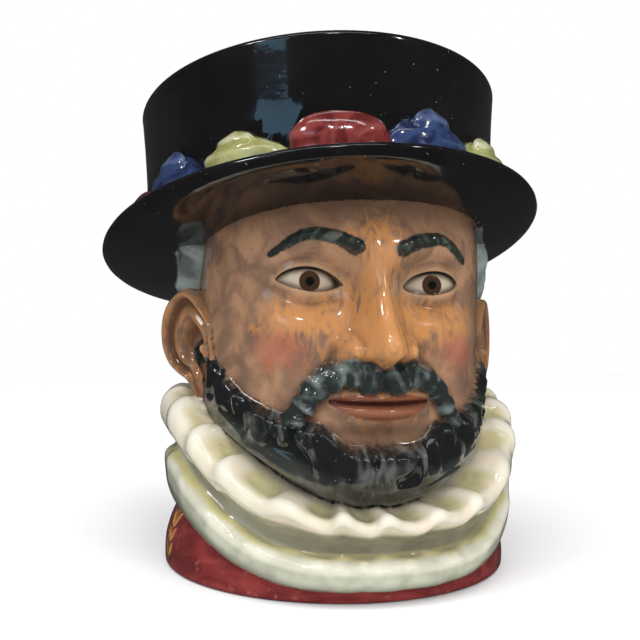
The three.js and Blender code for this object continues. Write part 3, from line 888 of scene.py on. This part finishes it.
def store_relief(mesh, points, edges):
    """Ridges are above 0 and hollows below, in millimetres, at a fine and at a coarse scale."""
    normals = read_normals(mesh)
    near = spread(points, edges, 8)
    far = spread(near, edges, 50)
    store(mesh, "fine_relief", np.einsum("ij,ij->i", points - near, normals))
    store(mesh, "relief", np.einsum("ij,ij->i", points - far, normals))


FAR = 9.0  # value of a painted area's distance where it plays no part
BEARD_END = 84.0
HAIR_START = 95.0
HAIR_LOW = 50.0
MM_PER_DEGREE = 0.8  # round the head, about
FACE_Y = -18.0
LASH_REACH = 1.04


def store_face_fields(mesh, points):
    """Signed distances to the edges of the painted areas, in millimetres, above 0 inside them."""
    x, y, z = points.T
    on_head = (y < 12) & (z > 16) & (z < 112)
    half_width, front, back = profile(HEAD_FORM, z)
    angle = np.arctan2(x / half_width, -y / np.where(y < 0, front, back))
    around = half_width * angle
    degrees = np.degrees(np.abs(angle))
    store(mesh, "jaw", np.where(on_head, z - jaw_line(angle), 99))
    stroke = np.where(on_head, beard_hairs(angle, around, z), 0)
    stroke = np.where(hair_share(degrees, z) > 0, hair_strands(around, z), stroke)
    inside, _, along = moustache_form(np.abs(x), z)
    stroke = np.where(inside > -1, moustache_strands(x, along, z), stroke)
    inside, along = eyebrow_form(np.abs(x), z)
    store(mesh, "stroke", np.where(inside > -1, eyebrow_strands(x, along, z), stroke))
    (edge,) = profile(BEARD_EDGE, degrees)
    beard = np.minimum(edge - z, (BEARD_END - degrees) * MM_PER_DEGREE)
    store(mesh, "beard", np.where(on_head, np.clip(beard, -FAR, FAR), -FAR))
    hair = MM_PER_DEGREE * np.maximum(degrees - HAIR_START, temple_lock(degrees, z))
    store(mesh, "hair", np.clip(np.where(z > HAIR_LOW, hair, -FAR), -FAR, FAR))
    x = np.abs(x)
    face = on_head & (y < FACE_Y)
    upper, line, lower, _ = lip_edges(x)
    lid, _, u = lid_edges(x)
    mouth = x < MOUTH_HALF_WIDTH
    warm = hump(x, z, 0, NOSE_BASE_Z + 10, 15, 24) + 0.8 * hump(x, z, 24, EYE_Z - 11, 13, 7)
    fields = {
        "moustache": (moustache_form(x, z)[0], -FAR),
        "eyebrow": (eyebrow_form(x, z)[0], -FAR),
        "lips": (np.where(mouth, np.minimum(upper - z, z - lower), -FAR), -FAR),
        "mouth_line": (np.where(mouth, np.abs(z - line), FAR), FAR),
        "eye": (eye_opening(x, z), -FAR),
        "lash": (np.where(np.abs(u) < LASH_REACH, np.abs(z - lid), FAR), FAR),
        "iris": (np.hypot(x - EYE_X, z - EYE_Z - 0.3), FAR),
        "warm": (warm + 0.5 * hump(x, z, 0, BROW_Z + 4, 10, 8), 0),
        "blush": (hump(x, z, 28, EYE_Z - 20, 9, 7), 0),
    }
    for name, (values, elsewhere) in fields.items():
        store(mesh, name, np.where(face, np.clip(values, -FAR, FAR), elsewhere))


def above_lip(angle, z, lip):
    front, side, late = lip
    return z - front - (side - front) * side_share(angle, late)


def store_ruff_fields(mesh, points):
    """Dents of the dish, and heights above the two lips in millimetres."""
    x, y, z = points.T
    x, y = x / RUFF_WIDTH_SHARE, y - RUFF_Y
    angle = np.arctan2(x, -y)
    store(mesh, "dimple", dimples(angle, np.hypot(x, y)))
    store(mesh, "upper_lip", np.clip(above_lip(angle, z, UPPER_LIP), -30, 30))
    store(mesh, "lower_lip", np.clip(above_lip(angle, z, LOWER_LIP), -30, 30))


# Nodes


class Tree:
    """A material's nodes. Every method but feed and glaze adds nodes and gives their result."""

    def __init__(self, label):
        self.material = material_named(label)
        self.material.use_nodes = True
        self.nodes = self.material.node_tree.nodes
        self.links = self.material.node_tree.links
        self.shader = self.nodes["Principled BSDF"]
        self.place = self.nodes.new("ShaderNodeTexCoord").outputs["Object"]

    def feed(self, socket, value):
        """Links a socket to another's result, or sets it to a number or a colour."""
        if isinstance(value, bpy.types.NodeSocket):
            self.links.new(value, socket)
        elif isinstance(value, tuple) and len(value) == 3 and socket.type == "RGBA":
            socket.default_value = (*value, 1)
        else:
            socket.default_value = value

    def field(self, name):
        node = self.nodes.new("ShaderNodeAttribute")
        node.attribute_name = name
        return node.outputs["Fac"]

    def math(self, operation, *values):
        node = self.nodes.new("ShaderNodeMath")
        node.operation = operation
        for socket, value in zip(node.inputs, values):
            self.feed(socket, value)
        return node.outputs[0]

    def times(self, a, b):
        return self.math("MULTIPLY", a, b)

    def ramp(self, value, low, high):
        """0 up to low and 1 from high on, with a soft step between. low may be above high."""
        node = self.nodes.new("ShaderNodeMapRange")
        node.interpolation_type = "SMOOTHSTEP"
        self.feed(node.inputs["Value"], value)
        node.inputs["From Min"].default_value = low
        node.inputs["From Max"].default_value = high
        return node.outputs[0]

    def mix(self, share, a, b):
        node = self.nodes.new("ShaderNodeMix")
        node.data_type = "RGBA"
        self.feed(node.inputs["Factor"], share)
        self.feed(node.inputs["A"], a)
        self.feed(node.inputs["B"], b)
        return node.outputs["Result"]

    def axes(self):
        """The place on the jug in metres, axis by axis."""
        node = self.nodes.new("ShaderNodeSeparateXYZ")
        self.links.new(self.place, node.inputs[0])
        return node.outputs

    def where(self, stretch=(1, 1, 1), turn=(0, 0, 0)):
        """The place on the jug in metres, stretched."""
        node = self.nodes.new("ShaderNodeMapping")
        self.links.new(self.place, node.inputs["Vector"])
        node.inputs["Rotation"].default_value = turn
        node.inputs["Scale"].default_value = stretch
        return node.outputs[0]

    def noise(self, size, detail=3.0, stretch=(1, 1, 1), turn=(0, 0, 0), distortion=0.0):
        """Cloudy noise from about 0.2 to 0.8 with features of a size in millimetres."""
        node = self.nodes.new("ShaderNodeTexNoise")
        self.links.new(self.where(stretch, turn), node.inputs["Vector"])
        node.inputs["Scale"].default_value = 1 / (size * MM)
        node.inputs["Detail"].default_value = detail
        node.inputs["Distortion"].default_value = distortion
        return node.outputs["Fac"]

    def step(self, name, low, high):
        """A stored field stepped from low to high."""
        return self.ramp(self.field(name), low, high)

    def cloud(self, low, high, size, detail, **shape):
        """Noise stepped from low to high, in patches."""
        return self.ramp(self.noise(size, detail, **shape), low, high)

    def brushed(self, field, low, high, waver=0.5, size=1.4):
        """A painted edge: a field stepped from low to high, with the waver of a brush in millimetres."""
        uneven = self.times(self.math("SUBTRACT", self.noise(size), 0.5), 2 * waver)
        return self.ramp(self.math("ADD", self.field(field), uneven), low, high)

    def bump(self, height, strength, distance):
        """A relief up to a distance in millimetres."""
        node = self.nodes.new("ShaderNodeBump")
        node.inputs["Strength"].default_value = strength
        node.inputs["Distance"].default_value = distance * MM
        self.feed(node.inputs["Height"], height)
        return node.outputs[0]

    def glaze(self, colour, gloss=0.12, waviness=0.06):
        """Colour under a clear glaze with a faint ripple and a few dust specks in it."""
        shader = self.shader
        speck = self.times(self.ramp(self.noise(0.9, 0.0), 0.845, 0.86), 0.4)
        self.feed(shader.inputs["Base Color"], self.mix(speck, colour, (0.3, 0.28, 0.25)))
        self.feed(shader.inputs["Roughness"], self.math("MULTIPLY_ADD", self.noise(7, 4), 0.16, gloss - 0.05))
        shader.inputs["IOR"].default_value = 1.5
        shader.inputs["Coat Weight"].default_value = 0.9
        shader.inputs["Coat Roughness"].default_value = 0.035
        shader.inputs["Coat IOR"].default_value = 1.5
        ripple = self.bump(self.noise(3.2, 2), waviness, 0.6)
        self.feed(shader.inputs["Normal"], ripple)
        self.feed(shader.inputs["Coat Normal"], ripple)


def paint_skin(tree, colour):
    """Painted shade darkening the hollows, partly the glaze pooled there, and a painted highlight lightening
    the ridges.
    """
    hollow = tree.step("relief", 0.0, -1.5)
    ridge_highlight = tree.step("relief", 0.4, 2.4)
    # painted shade in the hollows, partly the glaze that pools there
    colour = tree.mix(tree.times(hollow, 0.72), colour, (0.06, 0.026, 0.014))
    # painted highlight on the ridges
    return tree.mix(tree.times(ridge_highlight, 0.45), colour, (0.64, 0.35, 0.15))


def flesh(tree, warm, blush):
    """Mauve-brown flesh with ochre and rose laid over it in short strokes."""
    strokes = tree.noise(4, 5, stretch=(1.6, 1, 0.6), turn=(0, 0.5, 0), distortion=1.2)
    cloud = tree.noise(11, 4, distortion=0.6)
    colour = tree.mix(tree.ramp(cloud, 0.34, 0.66), (0.165, 0.098, 0.066), (0.34, 0.19, 0.11))
    brown = tree.times(tree.ramp(strokes, 0.52, 0.72), 0.5)
    colour = tree.mix(brown, colour, (0.1, 0.062, 0.042))
    uneven = tree.times(tree.math("SUBTRACT", strokes, 0.5), 2.2)
    ochre = tree.ramp(tree.math("ADD", warm, uneven), 0.2, 1.0)
    colour = tree.mix(tree.times(ochre, 0.85), colour, (0.52, 0.23, 0.075))
    rose = tree.ramp(tree.math("ADD", blush, tree.times(uneven, 0.5)), 0.2, 1.1)
    return tree.mix(tree.times(rose, 0.7), colour, (0.38, 0.12, 0.072))


def hair_paint(tree, dark, light, low=0.45, high=0.85):
    """Dark glaze in the grooves of hair and a lighter one brushed over its ridges."""
    lit = tree.step("stroke", low, high)
    patch = tree.cloud(0.35, 0.65, 5, 3)
    return tree.mix(tree.times(lit, patch), dark, light)


def beard_paint(tree):
    """Near black among the curls, and grey along the jaw, with a painted shadow as a dark line under it where
    the beard rolls under.
    """
    curls = hair_paint(tree, (0.009, 0.01, 0.01), (0.085, 0.09, 0.084), 0.5, 0.9)
    band = hair_paint(tree, (0.03, 0.033, 0.029), (0.095, 0.098, 0.084), 0.3, 0.8)
    aside = tree.ramp(tree.math("ABSOLUTE", tree.axes()[0]), 10 * MM, 24 * MM)
    low = tree.step("jaw", 9.5, 5.5)
    colour = tree.mix(tree.times(low, aside), curls, band)
    # painted shadow: a dark line along the jaw where the beard rolls under
    return tree.mix(tree.step("jaw", 1.6, 0.4), colour, (0.01, 0.01, 0.009))


def face_glaze(tree):
    colour = paint_skin(tree, flesh(tree, tree.field("warm"), tree.field("blush")))
    height = tree.axes()[2]
    under_hat = tree.ramp(height, (BROW_Z + 3) * MM, (BROW_Z + 12) * MM)
    chin = tree.ramp(height, (MOUTH_Z - 4) * MM, (MOUTH_Z - 8) * MM)
    shaded = tree.times(tree.math("MAXIMUM", under_hat, chin), 0.65)
    colour = tree.mix(shaded, colour, (0.07, 0.04, 0.024))
    # lip colour darker in the lips' hollows and lighter where they stand out: painted shade and painted
    # highlight
    lips = tree.mix(tree.step("relief", 0.0, 1.4), (0.12, 0.032, 0.018), (0.24, 0.09, 0.048))
    colour = tree.mix(tree.times(tree.brushed("lips", -0.3, 0.5, 0.4), 0.85), colour, lips)
    colour = tree.mix(tree.step("mouth_line", 0.75, 0.3), colour, (0.045, 0.012, 0.008))
    grey = tree.mix(tree.cloud(0.3, 0.7, 14, 3), (0.19, 0.22, 0.21), (0.27, 0.31, 0.295))
    hair = tree.mix(tree.step("stroke", 0.15, 0.85), (0.08, 0.095, 0.09), grey)
    colour = tree.mix(tree.brushed("hair", -0.6, 0.6, 0.8), colour, hair)
    colour = tree.mix(tree.brushed("beard", -1.4, 1.2, 2.2, 1.8), colour, beard_paint(tree))
    moustache = hair_paint(tree, (0.018, 0.023, 0.022), (0.12, 0.145, 0.138), 0.35, 0.85)
    colour = tree.mix(tree.brushed("moustache", -0.6, 0.3, 0.6), colour, moustache)
    brow = hair_paint(tree, (0.018, 0.022, 0.018), (0.085, 0.095, 0.082))
    colour = tree.mix(tree.brushed("eyebrow", -0.4, 0.3, 0.6), colour, brow)
    lid = tree.times(tree.step("eye", -2.2, -0.5), tree.step("eye", 0.2, -0.1))
    colour = tree.mix(tree.times(lid, 0.6), colour, (0.42, 0.26, 0.14))
    # eye white darker towards the lids' edges and corners: painted shade under the lids
    white = tree.mix(tree.step("eye", 0.2, 2.4), (0.12, 0.08, 0.055), (0.43, 0.37, 0.28))
    pupil = tree.step("iris", PUPIL_RADIUS + 0.15, PUPIL_RADIUS - 0.15)
    iris = tree.mix(pupil, (0.042, 0.02, 0.01), (0.003, 0.003, 0.003))
    white = tree.mix(tree.step("iris", IRIS_RADIUS + 0.25, IRIS_RADIUS - 0.1), white, iris)
    colour = tree.mix(tree.step("eye", 0.0, 0.25), colour, white)
    colour = tree.mix(tree.step("lash", 0.6, 0.25), colour, (0.01, 0.008, 0.006))
    tree.glaze(colour)


def ear_glaze(tree):
    hollow = tree.step("fine_relief", 0.0, -0.45)
    colour = tree.mix(0.35, paint_skin(tree, flesh(tree, 0.45, 0.15)), (0.11, 0.052, 0.026))
    # painted shade in the ear's hollows
    tree.glaze(tree.mix(tree.times(hollow, 0.7), colour, (0.08, 0.032, 0.016)))


def black_glaze(tree):
    cloud = tree.cloud(0.4, 0.75, 22, 4)
    smoke = tree.mix(cloud, (0.004, 0.004, 0.0045), (0.0085, 0.0075, 0.007))
    tree.glaze(smoke, gloss=0.09, waviness=0.04)


def ruff_glaze(tree):
    """Cream dish with yellow-green dents, white lips, an olive recess under the upper lip in painted shadow,
    and a grey-green lower tier darkened towards its foot with painted shade. Painted shade in the hollows and
    painted highlights on the ridges.
    """
    cloud = tree.cloud(0.35, 0.65, 9, 4)
    patchy = tree.cloud(0.26, 0.5, 7, 3)
    dish = tree.mix(cloud, (0.56, 0.51, 0.38), (0.65, 0.56, 0.45))
    dent = tree.times(tree.step("dimple", 0.05, 0.8), patchy)
    dish = tree.mix(tree.times(dent, 0.75), dish, (0.47, 0.42, 0.19))
    spots = tree.times(tree.step("dimple", 0.4, 0.9), tree.cloud(0.5, 0.64, 5, 3))
    dish = tree.mix(tree.times(spots, 0.4), dish, (0.3, 0.27, 0.16))
    # painted shadow in the recess under the upper lip, darkest at the front and lighter towards the sides
    shaded_recess = tree.mix(cloud, (0.19, 0.185, 0.125), (0.31, 0.295, 0.2))
    at_side = tree.ramp(tree.axes()[1], -58 * MM, -38 * MM)
    shaded_recess = tree.mix(at_side, shaded_recess, tree.mix(cloud, (0.43, 0.42, 0.3), (0.54, 0.53, 0.41)))
    shaded_recess = tree.mix(tree.step("lower_lip", 4.2, 3.4), shaded_recess, (0.5, 0.45, 0.21))
    rim = tree.mix(cloud, (0.5, 0.49, 0.39), (0.62, 0.6, 0.5))
    # grey-green lower tier, kept darker than the dish partly as painted shade, and darker still towards its
    # foot as painted shade on its underside
    lower = tree.mix(cloud, (0.36, 0.37, 0.28), (0.5, 0.51, 0.4))
    lower = tree.mix(tree.step("lower_lip", -3.0, -7.5), lower, (0.21, 0.215, 0.16))
    colour = tree.mix(tree.step("upper_lip", -3.2, -1.6), shaded_recess, dish)
    colour = tree.mix(tree.step("lower_lip", 3.0, 1.6), colour, rim)
    colour = tree.mix(tree.step("lower_lip", -0.2, -1.8), colour, lower)
    # painted shade in the hollows of the folds
    deep_shade = tree.step("relief", -0.3, -1.7)
    colour = tree.mix(tree.times(deep_shade, 0.6), colour, (0.13, 0.115, 0.08))
    # painted highlight on the ridges of the folds and lips
    painted_highlight = tree.times(tree.step("fine_relief", 0.22, 0.5), 0.6)
    tree.glaze(tree.mix(painted_highlight, colour, (0.7, 0.68, 0.58)))


def maroon(tree):
    strokes = tree.noise(14, 5, stretch=(1, 1, 2.5), distortion=0.8)
    colour = tree.mix(tree.ramp(strokes, 0.3, 0.7), (0.115, 0.016, 0.016), (0.26, 0.042, 0.04))
    return tree.mix(tree.cloud(0.6, 0.8, 3, 4), colour, (0.34, 0.09, 0.08))


# Sprig of leaves on the coat: its place by degrees from the front, and its sizes
SPRIG_DEGREES = 82
SPRIG_LOW = 2.5
SPRIG_HEIGHT = 16.5
SPRIG_PAIRS = 3
LEAF_LENGTH = 3.0
LEAF_WIDTH = 1.15
LEAF_TILT = 48


def ellipse(tree, u, v, place, tilt, size):
    """Squared distance from an ellipse's middle as a share of its own radius. All in millimetres."""
    du, dv = tree.math("SUBTRACT", u, place[0]), tree.math("SUBTRACT", v, place[1])
    c, s = math.cos(math.radians(tilt)), math.sin(math.radians(tilt))
    along = tree.math("ADD", tree.times(du, c / size[0]), tree.times(dv, s / size[0]))
    sideways = tree.math("SUBTRACT", tree.times(dv, c), tree.times(du, s))
    across = tree.math("DIVIDE", sideways, size[1])
    return tree.math("ADD", tree.times(along, along), tree.times(across, across))


def sprig(tree):
    """A plain sprig of leaves at each side of the coat. Below 1 it is inside a leaf."""
    x, y, z = tree.axes()
    side = tree.math("ARCTAN2", tree.math("ABSOLUTE", x), tree.times(y, -1.0))
    u = tree.times(tree.math("SUBTRACT", side, math.radians(SPRIG_DEGREES)), FOOT_RADIUS)
    v = tree.math("DIVIDE", z, MM)
    top = SPRIG_LOW + SPRIG_HEIGHT
    near = ellipse(tree, u, v, (0, SPRIG_LOW + SPRIG_HEIGHT / 2), 90, (SPRIG_HEIGHT / 2, 0.45))
    near = tree.math("MINIMUM", near, ellipse(tree, u, v, (0, top), 90, (LEAF_LENGTH, LEAF_WIDTH)))
    for pair in range(SPRIG_PAIRS):
        height = SPRIG_LOW + SPRIG_HEIGHT * (pair + 0.8) / (SPRIG_PAIRS + 0.6)
        for way in (-1, 1):
            place = (way * LEAF_LENGTH * 0.75, height)
            leaf = ellipse(tree, u, v, place, way * LEAF_TILT, (LEAF_LENGTH, LEAF_WIDTH))
            near = tree.math("MINIMUM", near, leaf)
    return near


def coat_glaze(tree):
    colour = maroon(tree)
    uneven = tree.times(tree.math("SUBTRACT", tree.noise(1.5, 3), 0.5), 1.6)
    leaf = tree.ramp(tree.math("ADD", sprig(tree), uneven), 1.15, 0.75)
    gold = tree.mix(tree.cloud(0.35, 0.65, 2.5, 3), (0.42, 0.15, 0.045), (0.64, 0.34, 0.1))
    tree.glaze(tree.mix(leaf, colour, gold))


def handle_glaze(tree):
    tree.glaze(maroon(tree))


def ribbon_glaze(tree, dark, middle, light):
    """A dyed ribbon: painted shade darkens its gathers and painted highlights lighten its ridges."""
    colour = tree.mix(tree.cloud(0.32, 0.68, 5, 4, distortion=0.8), dark, middle)
    # painted shade in the ribbon's gathers
    colour = tree.mix(tree.step("fine_relief", 0.0, -0.2), colour, dark)
    # painted highlight on the ribbon's ridges
    lit = tree.times(tree.step("fine_relief", 0.3, 0.8), 0.85)
    tree.glaze(tree.mix(lit, colour, light))


def red_glaze(tree):
    ribbon_glaze(tree, (0.08, 0.009, 0.009), (0.175, 0.03, 0.028), (0.29, 0.08, 0.072))


def blue_glaze(tree):
    ribbon_glaze(tree, (0.008, 0.013, 0.042), (0.026, 0.046, 0.12), (0.12, 0.155, 0.26))


def white_glaze(tree):
    ribbon_glaze(tree, (0.23, 0.225, 0.075), (0.34, 0.34, 0.15), (0.6, 0.59, 0.47))


def inside_glaze(tree):
    cloud = tree.cloud(0.35, 0.7, 30, 3)
    tree.glaze(tree.mix(cloud, (0.66, 0.63, 0.54), (0.74, 0.71, 0.63)))


def bare_clay(tree):
    grain = tree.cloud(0.35, 0.7, 0.8, 5)
    tree.feed(tree.shader.inputs["Base Color"], tree.mix(grain, (0.52, 0.47, 0.38), (0.66, 0.61, 0.52)))
    tree.feed(tree.shader.inputs["Roughness"], tree.math("MULTIPLY_ADD", grain, 0.15, 0.5))
    tree.feed(tree.shader.inputs["Normal"], tree.bump(grain, 0.4, 0.2))


# In the order of the areas' places
PAINTS = [
    black_glaze,
    face_glaze,
    ear_glaze,
    ruff_glaze,
    coat_glaze,
    red_glaze,
    blue_glaze,
    white_glaze,
    handle_glaze,
    inside_glaze,
    bare_clay,
]


def make_jug():
    mesh = join_up()
    mesh.name = "jug"
    soften_seams(mesh)
    points, edges = read_points(mesh), read_edges(mesh)
    store_relief(mesh, points, edges)
    store_face_fields(mesh, points)
    store_ruff_fields(mesh, points)
    mesh.polygons.foreach_set("use_smooth", np.ones(len(mesh.polygons), bool))
    for paint in PAINTS:
        paint(Tree(paint.__name__))
    jug = add_object("jug", mesh)
    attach(jug, "root")
    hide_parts("character_jug")


# Camera, as fitted to the outlines of the foot, brim and mouth rim
CAMERA_AZIMUTH = math.radians(-15)
CAMERA_DISTANCE = 0.266
CAMERA_HEIGHT = 0.068
CAMERA_PITCH = math.radians(2.8)
CAMERA_PAN = math.radians(-1.1)
CAMERA_ROLL = math.radians(0.5)
FOCAL_PIXELS = 750
PHOTO_PIXELS = 640


def make_camera():
    data = bpy.data.cameras.new("camera")
    data.sensor_width = 36
    data.lens = FOCAL_PIXELS / PHOTO_PIXELS * data.sensor_width
    data.clip_start = 0.01
    camera = add_object("camera", data)
    camera.location = (
        CAMERA_DISTANCE * math.sin(CAMERA_AZIMUTH),
        -CAMERA_DISTANCE * math.cos(CAMERA_AZIMUTH),
        CAMERA_HEIGHT,
    )
    camera.rotation_euler = (
        Matrix.Rotation(CAMERA_AZIMUTH - CAMERA_PAN, 3, "Z")
        @ Matrix.Rotation(math.pi / 2 + CAMERA_PITCH, 3, "X")
        @ Matrix.Rotation(CAMERA_ROLL, 3, "Z")
    ).to_euler()
    bpy.context.scene.camera = camera


def area_light(name, azimuth, elevation, distance, size, power, colour=(1, 1, 1)):
    """A rectangular light that looks at the jug, placed by degrees from its front and above the table."""
    a, e = math.radians(azimuth), math.radians(elevation)
    aim = Vector((0, 0, 0.085))
    away = Vector((math.sin(a) * math.cos(e), -math.cos(a) * math.cos(e), math.sin(e)))
    data = bpy.data.lights.new(name, "AREA")
    data.shape = "RECTANGLE"
    data.size, data.size_y = size
    data.energy = power
    data.color = colour
    light = add_object(name, data)
    light.location = aim + away * distance
    light.rotation_euler = (-away).to_track_quat("-Z", "Y").to_euler()
    return light


def make_lights():
    data = bpy.data.lights.new("ceiling", "SUN")
    data.energy = 2.5
    data.angle = math.radians(85)
    ceiling = add_object("ceiling", data)
    ceiling.rotation_euler = (math.radians(34), 0, math.radians(-24))
    ceiling.visible_glossy = False
    fill = area_light("fill", 20, 12, 1.2, (0.8, 0.6), 4.2)
    fill.visible_glossy = False
    area_light("window", -49, 28, 1.1, (0.34, 0.30), 0.36, (0.36, 0.7, 1))
    area_light("lamp_left", -68, 46, 0.9, (0.14, 0.045), 0.75)
    area_light("lamp_front", -12, 48, 0.9, (0.10, 0.03), 0.40)
    area_light("lamp_right", 34, 38, 0.9, (0.04, 0.10), 0.35)
    area_light("strip", -25, 66, 1.0, (0.9, 0.025), 0.9)


WORLD_SOFT = 0.44  # strength of the world's light on matt surfaces
WORLD_GLOSS = 0.035  # and in reflections


def make_world():
    """A white studio: seen white, soft light from above, and dark in reflections apart from the lamps."""
    world = bpy.data.worlds.new("studio")
    world.use_nodes = True
    nodes, links = world.node_tree.nodes, world.node_tree.links
    ray = nodes.new("ShaderNodeLightPath")
    seen = nodes.new("ShaderNodeMix")
    links.new(ray.outputs["Is Camera Ray"], seen.inputs["Factor"])
    seen.inputs["B"].default_value = 1.0
    glow = nodes.new("ShaderNodeMix")
    links.new(ray.outputs["Is Diffuse Ray"], glow.inputs["Factor"])
    glow.inputs["A"].default_value = WORLD_GLOSS
    glow.inputs["B"].default_value = WORLD_SOFT
    links.new(glow.outputs["Result"], seen.inputs["A"])
    links.new(seen.outputs["Result"], nodes["Background"].inputs["Strength"])
    nodes["Background"].inputs["Color"].default_value = (1, 1, 1, 1)
    bpy.context.scene.world = world
    bpy.context.scene.view_settings.view_transform = "Standard"


def make_floor():
    mesh = bpy.data.meshes.new("floor")
    mesh.from_pydata([(-3, -3, 0), (3, -3, 0), (3, 3, 0), (-3, 3, 0)], [], [(0, 1, 2, 3)])
    floor = add_object("floor", mesh)
    tree = Tree("paper")
    tree.shader.inputs["Roughness"].default_value = 0.9
    tree.shader.inputs["Specular IOR Level"].default_value = 0.1
    tree.shader.inputs["Base Color"].default_value = (0.93, 0.93, 0.93, 1)
    mesh.materials.append(tree.material)
    floor.visible_glossy = False


make_camera()
make_world()
make_lights()
make_floor()
make_jug()
